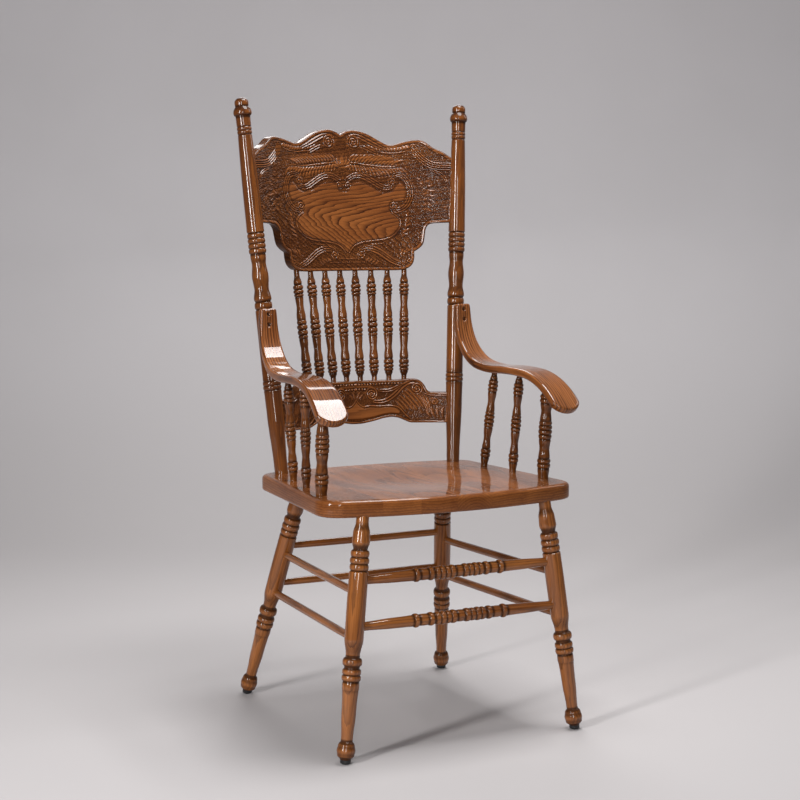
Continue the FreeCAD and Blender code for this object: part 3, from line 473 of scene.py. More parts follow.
@dataclass(frozen=True)
class DarkSteel:
    """Dark plated screw steel, dulled in its recess and paler where it is worn."""

    name: str
    plated: Triple = (0.012, 0.011, 0.010)
    worn: Triple = (0.034, 0.030, 0.028)
    roughness: float = 0.36
    wear_depth: float = 0.00005

    def material(self) -> bpy.types.Material:
        """Makes the finish."""
        mix = Recipe(self.name)
        spot = mix.node("ShaderNodeTexCoord", output="Object")
        wear = mix.between(mix.noise(spot, (700.0, 700.0, 700.0), 3.0), 0.45, 0.7)
        return mix.surface(
            {
                "Base Color": mix.mixed(wear, self.plated, self.worn),
                "Metallic": 1.0,
                "Roughness": self.roughness + 0.2 * wear,
                "Normal": mix.bump(wear, self.wear_depth, 0.4),
            }
        )


# Turned pieces


class Cut(Enum):
    """What a turner leaves at a station of a turning."""

    CORNER = "a crisp corner, with straight or hollow runs to it"
    BEAD = "the crown of a round bead that drops steeply at both sides"
    SWELL = "a level place in a flowing curve"


@dataclass(frozen=True)
class Station:
    """A place along a turned piece: its share of the axis and its diameter in millimetres."""

    share: float
    diameter: float
    cut: Cut


def corner(share: float, diameter: float) -> Station:
    """A crisp corner."""
    return Station(share, diameter, Cut.CORNER)


def bead(share: float, diameter: float) -> Station:
    """The crown of a bead."""
    return Station(share, diameter, Cut.BEAD)


def swell(share: float, diameter: float) -> Station:
    """A level place in a flowing curve."""
    return Station(share, diameter, Cut.SWELL)


def bead_row(low: float, high: float, count: int, crown: float, groove: float) -> list[Station]:
    """A row of like beads between two shares, with grooves between them."""
    pitch = (high - low) / count
    stations = [corner(low, groove)]
    for number in range(count):
        stations += [bead(low + pitch * (number + 0.5), crown), corner(low + pitch * (number + 1), groove)]
    return stations


def turned_round(stations: list[Station]) -> list[Station]:
    """The same turning read from its other end."""
    return [Station(1 - spot.share, spot.diameter, spot.cut) for spot in stations[::-1]]


@dataclass
class Turning:
    """A turned piece on an axis, with its stations in order from the start of the axis.

    A corner is crisp over 0.25 mm. The grooves, where the surface lies below what is within
    reach of it, are painted darker: partly pooled stain, partly painted shade. The log shift
    sets pieces apart in the log, so that their figures differ.
    """

    name: str
    start: np.ndarray
    end: np.ndarray
    stations: list[Station]
    around: int = 44
    level_at: float | None = None
    steps: int = 9
    crisp: float = 0.25 * MM
    crisp_most: float = 0.2
    flare: float = 1.8
    stain_shade_reach: float = 5 * MM
    stain_shade_depth: float = 1.7 * MM
    stain_shade_most: float = 0.9
    log_shift: float = 0.0
    log_step: Triple = (0.0, 0.013, 1.31)

    def profile(self) -> tuple[np.ndarray, np.ndarray]:
        """The heights along the axis and the radii of the outline.

        Between a groove and a bead the outline is a quarter ellipse, between two swells it
        is an S curve, next to one swell it is a power of the share, close to a parabola, and
        elsewhere it is straight.

        Returns:
            Heights in metres from the start of the axis, and radii in metres.
        """
        length = np.linalg.norm(self.end - self.start)
        heights, radii = [], []
        for first, second in zip(self.stations[:-1], self.stations[1:]):
            low, high = first.share * length, second.share * length
            run = max(high - low, SMALLEST)
            edge = min(self.crisp / run, self.crisp_most)
            inner = np.linspace(edge, 1 - edge, self.steps)[1:-1]
            share = np.concatenate([[0.0, edge], inner, [1 - edge]])
            blend = self.blend(first.cut, second.cut, share)
            heights.append(low + run * share)
            radii.append((first.diameter + (second.diameter - first.diameter) * blend) * MM / 2)
        heights.append([self.stations[-1].share * length])
        radii.append([self.stations[-1].diameter * MM / 2])
        return np.concatenate(heights), np.concatenate(radii)

    def blend(self, first: Cut, second: Cut, share: np.ndarray) -> np.ndarray:
        """How far the radius has gone from one station to the next."""
        if second is Cut.BEAD:
            return np.sqrt(1 - (1 - share) ** 2)
        if first is Cut.BEAD:
            return 1 - np.sqrt(1 - share**2)
        if first is Cut.SWELL and second is Cut.SWELL:
            return eased(share)
        if first is Cut.SWELL:
            return share**self.flare
        if second is Cut.SWELL:
            return 1 - (1 - share) ** self.flare
        return share

    def stain_and_shade_in_grooves(self, heights: np.ndarray, radii: np.ndarray) -> np.ndarray:
        """How dark the grooves are painted, with pooled stain and painted shade: how far the surface lies
        below the largest radius within reach.
        """
        near = np.abs(heights[:, None] - heights[None, :]) < self.stain_shade_reach
        around = np.where(near, radii[None, :], 0.0).max(axis=1)
        return self.stain_shade_most * np.clip((around - radii) / self.stain_shade_depth, 0.0, 1.0)

    def build(self) -> bpy.types.Object:
        """Carries the outline round the axis: each loop is a circle square to it."""
        heights, radii = self.profile()
        along = unit(self.end - self.start)
        across = unit(np.cross([0.0, 1.0, 0.0], along))
        ahead = np.cross(along, across)
        turn = np.linspace(0, 2 * math.pi, self.around, endpoint=False)
        ring = np.cos(turn)[:, None] * across + np.sin(turn)[:, None] * ahead
        loops = self.start + heights[:, None, None] * along + radii[:, None, None] * ring
        if self.level_at is not None:
            loops[..., 2] = np.maximum(loops[..., 2], self.level_at)
        flat = np.stack([np.cos(turn), np.sin(turn)], axis=-1) * radii[:, None, None]
        tall = np.broadcast_to(heights[:, None, None], (*flat.shape[:2], 1))
        grain = np.concatenate([flat, tall], axis=-1) + self.log_shift * np.array(self.log_step)
        stain = np.broadcast_to(self.stain_and_shade_in_grooves(heights, radii)[:, None], flat.shape[:2])
        return skin(self.name, loops, grain, stain)


@dataclass
class Legs:
    """Four turned legs on black glides, with eight stretchers between them."""

    oak: bpy.types.Material
    plastic: bpy.types.Material
    seat_under: float = 425.0
    front_foot: Pair = (234.9, -264.0)
    front_top: Pair = (184.5, -231.5)
    rear_foot: Pair = (220.1, 237.7)
    rear_top: Pair = (154.6, 109.0)
    tenon: float = 20.0
    glide_height: float = 8.0
    glide_diameter: float = 19.0
    pin_top: float = 23.0
    pin_diameter: float = 4.0
    short_of_axis: float = 3.0
    front_levels: Pair = (0.7405, 0.5515)
    back_levels: Pair = (0.7286, 0.5482)
    side_levels: Pair = (0.690, 0.505)

    def axis(self, row: str, side: float) -> tuple[np.ndarray, np.ndarray]:
        """The foot and the top of a leg's axis."""
        foot = self.front_foot if row == "front" else self.rear_foot
        top = self.front_top if row == "front" else self.rear_top
        low = mirrored(place(*foot, 0.0), side)
        return low, mirrored(place(*top, self.seat_under), side)

    def stations(self) -> list[Station]:
        """The leg's turning, from under the ball foot to the tenon in the seat."""
        over = self.tenon / self.seat_under
        return [
            corner(0.014, 12), swell(0.019, 20), swell(0.033, 30), swell(0.0538, 33), swell(0.074, 29.5),
            corner(0.0905, 20.8), swell(0.105, 21), swell(0.2, 25.6), corner(0.2983, 29), corner(0.3, 30),
            swell(0.316, 30.4), corner(0.333, 29), corner(0.3345, 28), bead(0.348, 34.2),
            corner(0.36, 28.4), bead(0.373, 33.6), corner(0.385, 27.6), swell(0.391, 27.2),
            corner(0.3965, 28), bead(0.412, 35), corner(0.43, 25.2), swell(0.442, 25.4),
            swell(0.505, 33.8), swell(0.65, 34.4), corner(0.776, 33.6), corner(0.782, 28.2),
            bead(0.796, 34), corner(0.809, 28.4), bead(0.822, 34.4), corner(0.836, 28.2),
            bead(0.8528, 33.2), corner(0.866, 25.4), swell(0.869, 25.2), swell(0.898, 31.8),
            swell(0.935, 30), swell(0.975, 22.8), corner(1, 22.5), corner(1 + over, 22.5),
        ]

    def build(self) -> list[Dressed]:
        """Builds the legs, the glides and the stretchers and gives each with its slot."""
        made = []
        level = self.glide_height * MM
        for number, (word, side) in enumerate(SIDES.items()):
            for row in ("front", "rear"):
                shift = 1.0 + number * 2 + (row == "rear")
                ends = self.axis(row, side)
                leg = Turning(f"{row}_{word}_leg", *ends, self.stations(), level_at=level, log_shift=shift)
                made.append(dressed(leg.build(), self.oak))
                made.append(dressed(self.glide(row, word), self.plastic, PLASTIC_SLOT))
        return made + [dressed(bar.build(), self.oak) for bar in self.stretchers()]

    def glide(self, row: str, word: str) -> bpy.types.Object:
        """A button with a rounded foot and a raised rim, and a pin up into the leg."""
        foot, top = self.axis(row, SIDES[word])
        tall, wide, pin = self.glide_height, self.glide_diameter, self.pin_diameter
        middle = foot + (top - foot) * tall / self.seat_under
        floor = middle * np.array([1.0, 1.0, 0.0])
        heights = [
            corner(0, wide - 7), swell(0.2, wide - 4.4), swell(2.2, wide - 0.5), swell(3.2, wide),
            corner(6.4, wide), corner(6.6, wide - 1.2), corner(tall, wide - 1.4),
            corner(tall + 0.05, pin), corner(self.pin_top, pin),
        ]
        stations = [Station(spot.share / self.pin_top, spot.diameter, spot.cut) for spot in heights]
        end = floor + FLOOR_UP * self.pin_top * MM
        return Turning(f"{row}_{word}_glide", floor, end, stations, around=40, crisp=0.05 * MM).build()

    def stretchers(self) -> list[Turning]:
        """The turned bars between the legs."""
        bars = []
        across = (("front", "front", self.front_levels), ("rear", "back", self.back_levels))
        for number, level in enumerate(("upper", "lower")):
            for row, name, levels in across:
                ends = [self.spot(row, side, levels[number]) for side in SIDES.values()]
                bars.append(self.bar(f"{name}_{level}_stretcher", *ends, 5.0 + number * 4))
            for word, side in SIDES.items():
                ends = [self.spot(row, side, self.side_levels[number]) for row in ("front", "rear")]
                bars.append(self.bar(f"{word}_{level}_stretcher", *ends, 6.0 + number * 4 + side))
        return bars

    def spot(self, row: str, side: float, share: float) -> np.ndarray:
        """A point of a leg's axis."""
        foot, top = self.axis(row, side)
        return foot + (top - foot) * share

    def bar(self, name: str, near: np.ndarray, far: np.ndarray, shift: float) -> Turning:
        """One stretcher: a plain tapered bar, or in front one with collars and beads."""
        way = unit(far - near) * self.short_of_axis * MM
        stations = self.fancy_bar() if name.startswith("front") else self.plain_bar()
        return Turning(name, near + way, far - way, stations, around=36, log_shift=shift)

    @staticmethod
    def plain_bar() -> list[Station]:
        """A round bar that swells a little towards its middle."""
        return [
            corner(0, 13), swell(0.25, 14.5), swell(0.5, 14.8), swell(0.75, 14.5), corner(1, 13),
        ]

    @staticmethod
    def fancy_bar() -> list[Station]:
        """Tapered ends, collars, and a swelling cut by beads, alike on both sides of the middle."""
        half = [
            corner(0, 15.5), swell(0.04, 15.6), swell(0.18, 19.4), corner(0.266, 20.8),
            corner(0.27, 19.8), bead(0.282, 25.4), corner(0.294, 19.8), swell(0.318, 21.4),
            corner(0.344, 20.2), bead(0.356, 24.6), corner(0.368, 19.4), swell(0.378, 20.6),
            bead(0.39, 23.4), corner(0.4, 19.2), bead(0.413, 24.8), corner(0.426, 19.4), bead(0.44, 23.4),
            corner(0.452, 19.6), bead(0.466, 24.6), corner(0.479, 20),
        ]
        return half + [swell(0.5, 21.8)] + turned_round(half)


@dataclass
class Back:
    """Two turned posts and eight slim spindles."""

    oak: bpy.types.Material
    foot: Triple = (186.8, 126.6, 455.0)
    tip: Triple = (235.8, 196.9, 1170.0)
    tenon: float = 22.0
    spindles: int = 8
    pitch_low: float = 30.0
    pitch_high: float = 33.7
    rail_top: float = 619.0
    crest_bottom: float = 838.0
    rail_bow: float = 56.0
    crest_bow: float = 63.3
    socket_depth: float = 14.0

    def axis(self, side: float) -> tuple[np.ndarray, np.ndarray]:
        """The foot and the tip of a post's axis."""
        return mirrored(place(*self.foot), side), mirrored(place(*self.tip), side)

    def post_at(self, height: np.ndarray | float) -> np.ndarray:
        """The right post's axis at heights in metres."""
        low, high = self.axis(1.0)
        share = (np.asarray(height) - low[2]) / (high[2] - low[2])
        return low + (high - low) * share[..., None]

    def stations(self) -> list[Station]:
        """The post's turning, from its tenon in the seat to the finial."""
        length = np.linalg.norm(place(*self.tip) - place(*self.foot)) / MM
        return [
            corner(-self.tenon / length, 25.5), corner(0, 25.5), swell(0.03, 26.4), swell(0.15, 32.4),
            corner(0.2215, 34), corner(0.224, 31.6), bead(0.2305, 35.6), corner(0.2355, 31.6),
            bead(0.241, 35.6), corner(0.247, 31.8), corner(0.249, 33.6), swell(0.34, 33.4),
            corner(0.435, 33.2), corner(0.439, 28.8), bead(0.4485, 34.2), corner(0.458, 28.8),
            corner(0.464, 33.4), swell(0.467, 34), swell(0.492, 28), swell(0.526, 32.2),
            swell(0.56, 27.2), swell(0.578, 30), corner(0.585, 29.2),
            *bead_row(0.587, 0.641, 4, 33.8, 28.8), corner(0.6445, 33.6), swell(0.7, 32.6),
            corner(0.899, 27.2), corner(0.903, 25), bead(0.909, 28.4), corner(0.9132, 25),
            bead(0.9176, 28.4), corner(0.9225, 25.2), corner(0.925, 27.4), swell(0.94, 28),
            corner(0.952, 28.6), bead(0.96, 35.4), swell(0.9615, 35), corner(0.9765, 24.8),
            bead(0.987, 26.8), corner(1, 3),
        ]

    def spindle_stations(self) -> list[Station]:
        """A back spindle's turning, given from the top because its beads are read from there."""
        length = self.spindle_length()
        down = [
            corner(-self.socket_depth / length, 10.5), corner(0, 10.5), swell(0.04, 10.8),
            swell(0.098, 16.4), corner(0.116, 15), corner(0.12, 13.8), bead(0.142, 20.2),
            corner(0.161, 13.6), bead(0.179, 20.6), corner(0.197, 13.8), bead(0.21, 19),
            corner(0.223, 14.8), swell(0.232, 16.4), swell(0.312, 14.2), swell(0.405, 18.4),
            corner(0.434, 16.8), bead(0.455, 19.4), corner(0.472, 13.8), bead(0.494, 21),
            corner(0.518, 13.8), bead(0.543, 20.4), corner(0.566, 14.2), bead(0.58, 19.2),
            corner(0.594, 16.4), swell(0.606, 17.4), swell(0.703, 14.6), swell(0.785, 18.2),
            corner(0.812, 16.2), bead(0.836, 20.4), corner(0.855, 13.8), bead(0.872, 20.6),
            corner(0.888, 13.8), bead(0.904, 19.2), corner(0.917, 15.4), swell(0.926, 15.8),
            swell(0.962, 10.6), corner(1, 10.2), corner(1 + self.socket_depth / length, 10.2),
        ]
        return turned_round(down)

    def bow_point(self, height: float, bow: float, across: float) -> np.ndarray:
        """A point of the arc between the posts at a height, all in millimetres."""
        end = self.post_at(height * MM) / MM
        radius = (end[0] ** 2 + bow**2) / (2 * bow)
        return place(across, end[1] + bow - radius + math.sqrt(radius**2 - across**2), height)

    def spindle_axis(self, number: int) -> tuple[np.ndarray, np.ndarray]:
        """The foot of a spindle on the rail and its head under the crest."""
        spot = number - (self.spindles - 1) / 2
        low = self.bow_point(self.rail_top, self.rail_bow, self.pitch_low * spot)
        return low, self.bow_point(self.crest_bottom, self.crest_bow, self.pitch_high * spot)

    def spindle_length(self) -> float:
        """The length of the middle spindles between rail and crest, in millimetres."""
        low, high = self.spindle_axis(self.spindles // 2)
        return float(np.linalg.norm(high - low) / MM)

    def build(self) -> list[Dressed]:
        """Builds the posts and the spindles."""
        bars = []
        for number, (word, side) in enumerate(SIDES.items()):
            post = Turning(f"{word}_back_post", *self.axis(side), self.stations(), around=52)
            post.log_shift = 21.0 + number
            bars.append(post)
        for number in range(self.spindles):
            ends = self.spindle_axis(number)
            spindle = Turning(f"back_spindle_{number + 1}", *ends, self.spindle_stations(), around=36)
            spindle.steps = 7
            spindle.log_shift = 30.0 + number
            bars.append(spindle)
        return [dressed(bar.build(), self.oak) for bar in bars]


# Arms


@dataclass
class Arms:
    """Two bent strips screwed to the posts, each on three turned spindles.

    A bend is a radius and the degrees that the strip turns down in it. The plan's points are
    counted along the top end, round its corner, along the side and round the tip, and those of
    the section round a quarter and over a face. The screws' rings run from the shank's end over
    the head to its middle, with their depths below its face.
    """

    oak: bpy.types.Material
    turned_oak: bpy.types.Material
    steel: bpy.types.Material
    back: Back
    top_height: float = 771.5
    thickness: float = 15.0
    back_width: float = 32.5
    bend_width: float = 49.0
    front_width: float = 61.0
    lean: float = math.radians(5.6)
    toe_out: float = math.radians(4.2)
    heel: float = 26.0
    bends: tuple[Pair, ...] = ((102.0, -74.5), (293.0, -13.4), (670.0, 7.5), (172.0, 37.8))
    tip: float = 30.0
    tip_round: float = 22.0
    tip_ends: Pair = (0.10, 0.01)
    tip_blend: float = 0.35
    tip_gap: float = 5.0
    first_share: float = 0.02
    edge_round: float = 4.6
    top_corner: float = 5.5
    post_radius: float = 16.75
    inlet: float = 0.8
    path_points: int = 1200
    plan_points: tuple[int, int, int, int] = (5, 9, 88, 26)
    section_points: tuple[int, int] = (7, 15)
    past_first_bend: float = 30.0
    log_spot: Triple = (0.0, 0.03, 2.7)
    seat_top: float = 455.0
    rear_spots: tuple[Pair, Pair] = ((203.4, 28.7), (220.1, 15.5))
    middle_spots: tuple[Pair, Pair] = ((216.5, -60.1), (224.0, -72.6))
    front_spots: tuple[Pair, Pair] = ((228.3, -153.6), (229.1, -165.6))
    screw_spots: Pair = (11.0, 30.5)
    screw_depth: float = 3.0
    hole_diameters: Pair = (8.2, 8.6)
    hole_reach: Pair = (0.1, 6.0)
    shank_rings: tuple[Pair, ...] = ((2.0, 30.0), (2.0, 16.0), (2.0, 3.0), (4.0, 3.0))
    head_radii: tuple[float, ...] = (4.0, 3.8, 3.2, 2.6, 2.0, 1.5, 1.0, 0.6, 0.3, 0.02)
    head_depths: tuple[float, ...] = (0.35, 0.0, -0.1, -0.15, -0.2, -0.2, -0.2, -0.2, -0.2, -0.2)
    head_turn: float = 0.5
    slot_half: float = 0.5
    slot_reach: float = 2.7
    slot_depth: float = 1.5
    face_depth: float = 0.2

    def path(self) -> tuple[np.ndarray, np.ndarray, np.ndarray]:
        """The strip's middle line in its side view.

        Straight ends and arcs follow each other. On an arc the heading changes evenly with the
        length, and the line is the running sum of its own direction.

        Returns:
            Lengths along the strip, points (forward, up), and headings below level, in metres.
        """
        runs = [(self.heel, 0.0)]
        runs += [(radius * math.radians(abs(turn)), math.radians(turn)) for radius, turn in self.bends]
        runs += [(self.tip, 0.0)]
        ends = np.concatenate([[0.0], np.cumsum([length for length, _ in runs])])
        turned = np.concatenate([[0.0], np.cumsum([turn for _, turn in runs])])
        along = np.linspace(0, ends[-1], self.path_points)
        heading = math.pi / 2 - self.lean + np.interp(along, ends, turned)
        middle = (heading[1:] + heading[:-1]) / 2
        steps = np.diff(along)[:, None] * np.stack([np.cos(middle), -np.sin(middle)], axis=1)
        points = np.vstack([[0.0, 0.0], np.cumsum(steps, axis=0)])
        return along * MM, points * MM, heading

    def width_at(self, along: np.ndarray) -> np.ndarray:
        """The strip's width: it grows evenly to the end of the first bend, then to the tip."""
        bend_end = (self.heel + self.bends[0][0] * math.radians(abs(self.bends[0][1]))) * MM
        total = self.path()[0][-1]
        widths = [self.back_width, self.bend_width, self.front_width]
        return np.interp(along, [0.0, bend_end, total], widths) * MM

    def plan(self) -> tuple[np.ndarray, np.ndarray]:
        """The strip's plan laid flat, from its top end to its tip, on one side of the middle.

        Returns:
            Edge points (along, across) and their outward directions.
        """
        total = self.path()[0][-1]
        end_points, corner_points, side_points, tip_points = self.plan_points
        small = self.top_corner * MM
        narrow = self.back_width * MM / 2
        flat = np.linspace(self.first_share, 1.0, end_points)[:-1] * (narrow - small)
        points = [np.stack([flat * 0, flat], axis=1)]
        facing = [np.tile([-1.0, 0.0], (len(flat), 1))]
        turn = np.linspace(0, math.pi / 2, corner_points)
        rounded = [small - small * np.cos(turn), narrow - small + small * np.sin(turn)]
        points.append(np.stack(rounded, axis=1))
        facing.append(np.stack([-np.cos(turn), np.sin(turn)], axis=1))
        wide = self.front_width * MM / 2
        deep = self.tip_round * MM
        body = np.linspace(small, total - deep - self.tip_gap * MM, side_points)[1:]
        points.append(np.stack([body, self.width_at(body) / 2], axis=1))
        facing.append(np.tile([0.0, 1.0], (len(body), 1)))
        radius = (wide**2 + deep**2) / (2 * deep)
        reach = math.asin(wide / radius)
        swing = np.linspace(reach - self.tip_ends[0], self.tip_ends[1], tip_points)
        points.append(np.stack([total - radius + radius * np.cos(swing), radius * np.sin(swing)], axis=1))
        blend = np.minimum((reach - swing) / self.tip_blend, 1.0)[:, None]
        mixed = np.stack([np.cos(swing), np.sin(swing)], axis=1) * blend + np.array([0.0, 1.0]) * (1 - blend)
        facing.append(mixed / np.linalg.norm(mixed, axis=1, keepdims=True))
        return np.vstack(points), np.vstack(facing)

    def section(self) -> tuple[np.ndarray, np.ndarray, np.ndarray]:
        """The strip's section as a closed loop: side, inset from the edge, and height.

        Quarter rounds join the faces to the edges. The face points are shares of the inset edge.

        Returns:
            For each point its share of the half width (-1 to 1), its inset and its height.
        """
        half = self.thickness * MM / 2
        soft = self.edge_round * MM
        round_points, face_points = self.section_points
        quarter = np.linspace(0, math.pi / 2, round_points)
        inset = soft - soft * np.sin(quarter)
        height = half - soft + soft * np.cos(quarter)
        face = np.linspace(1, -1, face_points)[1:-1]
        right = np.ones_like(quarter)
        level = np.ones_like(face)
        share = np.concatenate([right, right, face, -right, -right, -face])
        insets = np.concatenate([inset, inset[::-1], soft * level] * 2)
        edges = [height, -height[::-1], -half * level, -height, height[::-1], half * level]
        return share, insets, np.concatenate(edges)

    def strip(self, word: str) -> bpy.types.Object:
        """One arm: the plan's rows, inset round the section, carried along the bent middle line."""
        side = SIDES[word]
        edge, facing = self.plan()
        share, inset, height = self.section()
        along = edge[:, :1] - facing[:, :1] * inset
        across = (edge[:, 1:] - facing[:, 1:] * inset) * share
        lengths, points, headings = self.path()
        forward = np.interp(along, lengths, points[:, 0])
        up = np.interp(along, lengths, points[:, 1])
        heading = np.interp(along, lengths, headings)
        forward = forward + np.sin(heading) * height
        up = up + np.cos(heading) * height
        start, ahead, right = self.stance(side)
        loops = start + forward[..., None] * ahead + across[..., None] * right + up[..., None] * FLOOR_UP
        grain = np.stack([across, height + 0 * across, along], axis=-1)
        grain = grain + (np.array(self.log_spot) + FLOOR_UP * side)
        piece = skin(f"{word}_arm", loops[::-1], grain[::-1], np.zeros(across.shape))
        for number in range(len(self.screw_spots)):
            self.drill(piece, self.screw_hole(side, number))
        return piece

    def screw_hole(self, side: float, number: int) -> bpy.types.Object:
        """A plug in the shape of the round hole above a sunk screw, marked fully dark, so that the hole's
        walls are painted dark: painted shade in the hole.
        """
        middle, _, outward = self.screw_line(side, number)
        near, far = (middle + outward * reach * MM for reach in self.hole_reach)
        stations = [corner(0.0, self.hole_diameters[0]), corner(1.0, self.hole_diameters[1])]
        plug = Turning("plug", near, far, stations, around=32, steps=3).build()
        # Painted shade: the walls that the plug leaves in the hole take its full darkness.
        full = np.ones(len(plug.data.vertices), np.float32)
        plug.data.attributes["stain"].data.foreach_set("value", full)
        return plug

    @staticmethod
    def drill(piece: bpy.types.Object, plug: bpy.types.Object) -> None:
        """Takes the plug's shape out of the piece and removes the plug."""
        cut = piece.modifiers.new("hole", "BOOLEAN")
        cut.operation, cut.solver, cut.object = "DIFFERENCE", "EXACT", plug
        bpy.context.view_layer.objects.active = piece
        bpy.ops.object.modifier_apply(modifier=cut.name)
        bpy.data.objects.remove(plug)

    def screw_line(self, side: float, number: int) -> tuple[np.ndarray, np.ndarray, np.ndarray]:
        """The middle of a screw's head, and the ways down the strip and out of it."""
        start, ahead, _ = self.stance(side)
        down = ahead * math.sin(self.lean) - FLOOR_UP * math.cos(self.lean)
        outward = ahead * math.cos(self.lean) + FLOOR_UP * math.sin(self.lean)
        deep = (self.thickness / 2 - self.screw_depth) * MM
        return start + down * self.screw_spots[number] * MM + outward * deep, down, outward

    def stance(self, side: float) -> tuple[np.ndarray, np.ndarray, np.ndarray]:
        """The middle of the strip's top end, the way it goes forward and the way to its right."""
        axis = mirrored(self.back.post_at(self.top_height * MM), side)
        turn = self.toe_out * side
        ahead = np.array([math.sin(turn), -math.cos(turn), 0.0])
        right = np.array([math.cos(turn), math.sin(turn), 0.0])
        reach = (self.post_radius - self.inlet + self.thickness / 2) * MM
        return axis + ahead * reach, ahead, right

    def middle_height(self, side: float, spot: np.ndarray) -> float:
        """The height of the strip's middle line above a point of the floor plan."""
        start, ahead, _ = self.stance(side)
        _, points, _ = self.path()
        reach = float(np.dot(spot - start, ahead))
        first = np.argmax(points[:, 0] > self.past_first_bend * MM)
        return float(start[2] + np.interp(reach, points[first:, 0], points[first:, 1]))

    def spindle_axis(self, spots: tuple[Pair, Pair], side: float) -> tuple[np.ndarray, np.ndarray]:
        """The foot of an arm spindle on the seat and its top in the middle of the arm."""
        foot, top = spots
        low = mirrored(place(*foot, self.seat_top), side)
        high = mirrored(place(*top, 0.0), side)
        high[2] = self.middle_height(side, high)
        return low, high

    @staticmethod
    def slim_stations() -> list[Station]:
        """The rear and middle spindles: three groups of beads and two swelling waists."""
        return [
            corner(-0.085, 13), corner(0, 13), swell(0.03, 13.2), swell(0.085, 16.4), corner(0.1, 15.6),
            bead(0.12, 19.2), corner(0.14, 14.8), bead(0.162, 19.8), corner(0.184, 15.2),
            swell(0.2, 16.6), swell(0.285, 13.6), swell(0.385, 17.4), corner(0.405, 16), bead(0.424, 19),
            corner(0.442, 14.8), bead(0.462, 20.4), corner(0.484, 14.8), bead(0.506, 20.2),
            corner(0.526, 15), bead(0.542, 18.6), corner(0.558, 16.2), swell(0.572, 16.8),
            swell(0.655, 13.6), swell(0.745, 17), corner(0.762, 15.6), bead(0.782, 19.4),
            corner(0.8, 14.6), bead(0.82, 20), corner(0.84, 14.6), bead(0.858, 18.8), corner(0.874, 14.6),
            swell(0.89, 14.8), swell(0.93, 10.8), corner(1, 10.5),
        ]

    @staticmethod
    def stout_stations() -> list[Station]:
        """The front supports: the same turning on a stouter scale."""
        return [
            corner(-0.088, 20), corner(0, 20), swell(0.02, 20.2), swell(0.095, 22.4), corner(0.112, 21.2),
            bead(0.136, 25.2), corner(0.16, 20.4), bead(0.184, 25.4), corner(0.206, 20.8),
            swell(0.222, 22), swell(0.315, 19), swell(0.4, 22.6), corner(0.418, 21), bead(0.442, 25),
            corner(0.464, 20), bead(0.49, 26), corner(0.514, 20), bead(0.538, 25.6), corner(0.56, 20.4),
            bead(0.582, 24.4), corner(0.602, 21.4), swell(0.618, 22), swell(0.7, 18.8),
            swell(0.776, 22.6), corner(0.792, 21), bead(0.814, 25.2), corner(0.836, 20.2),
            bead(0.858, 25), corner(0.878, 19.6), swell(0.89, 19.2), swell(0.925, 14.4), corner(1, 14),
        ]

    def screws(self, word: str) -> bpy.types.Object:
        """The two sunk screws as one piece: cross-slotted heads on plain shanks.

        A head is a stack of rings whose height drops by 1.5 mm inside a cross of two slots.

        Args:
            word: left or right.
        """
        side = SIDES[word]
        _, _, right = self.stance(side)
        turn = np.linspace(0, 2 * math.pi, 48, endpoint=False) + self.head_turn
        rings = np.array([*self.shank_rings, *zip(self.head_radii, self.head_depths)]) * MM
        x = rings[:, :1] * np.cos(turn)
        z = rings[:, :1] * np.sin(turn)
        cross = np.minimum(np.abs(x), np.abs(z)) < self.slot_half * MM
        short = np.hypot(x, z) < self.slot_reach * MM
        face = rings[:, 1:] < self.face_depth * MM
        sunk = rings[:, 1:] + np.where(cross & short & face, self.slot_depth * MM, 0.0)
        made = []
        for number in range(len(self.screw_spots)):
            middle, down, outward = self.screw_line(side, number)
            loops = middle + x[..., None] * right - z[..., None] * down - sunk[..., None] * outward
            made.append(skin(f"{word}_screw", loops, loops, np.zeros(x.shape)))
        bpy.ops.object.select_all(action="DESELECT")
        for piece in made:
            piece.select_set(True)
        bpy.context.view_layer.objects.active = made[0]
        bpy.ops.object.join()
        made[0].name = f"{word}_arm_screws" + FINISHED
        return made[0]

    def build(self) -> list[Dressed]:
        """Builds the strips, their spindles and their screws."""
        made = []
        slim, stout = self.slim_stations(), self.stout_stations()
        row = (
            ("rear", self.rear_spots, slim),
            ("middle", self.middle_spots, slim),
            ("front", self.front_spots, stout),
        )
        for number, (word, side) in enumerate(SIDES.items()):
            made.append(dressed(self.strip(word), self.oak))
            made.append(dressed(self.screws(word), self.steel, STEEL_SLOT))
            for place_in_row, (which, spots, stations) in enumerate(row):
                ends = self.spindle_axis(spots, side)
                spindle = Turning(f"{word}_arm_{which}_spindle", *ends, stations, around=40, steps=7)
                spindle.log_shift = 40.0 + number * 3 + place_in_row
                made.append(dressed(spindle.build(), self.turned_oak))
        return made


# Carving


def nearest(spots: np.ndarray, line: np.ndarray) -> tuple[np.ndarray, np.ndarray]:
    """The nearest place of a line to each spot, found on the line's straight steps.

    Args:
        spots: the spots, one row each.
        line: the line's points, one row each.

    Returns:
        Distances, above 0 to the left of the line's run, and lengths along the line.
    """
    start, run = line[:-1], np.diff(line, axis=0)
    squared = (run**2).sum(axis=1)
    gap = spots[:, None] - start
    share = np.clip((gap * run).sum(axis=2) / squared, 0.0, 1.0)
    gap = gap - share[..., None] * run
    distance = np.hypot(gap[..., 0], gap[..., 1])
    best = distance.argmin(axis=1)
    row = np.arange(len(spots))
    side = np.sign(run[best, 0] * gap[row, best, 1] - run[best, 1] * gap[row, best, 0])
    ends = np.concatenate([[0.0], np.cumsum(np.sqrt(squared))])
    return side * distance[row, best], ends[best] + share[row, best] * np.sqrt(squared[best])


def span(line: np.ndarray) -> float:
    """The length of a line."""
    return float(np.linalg.norm(np.diff(line, axis=0), axis=1).sum())


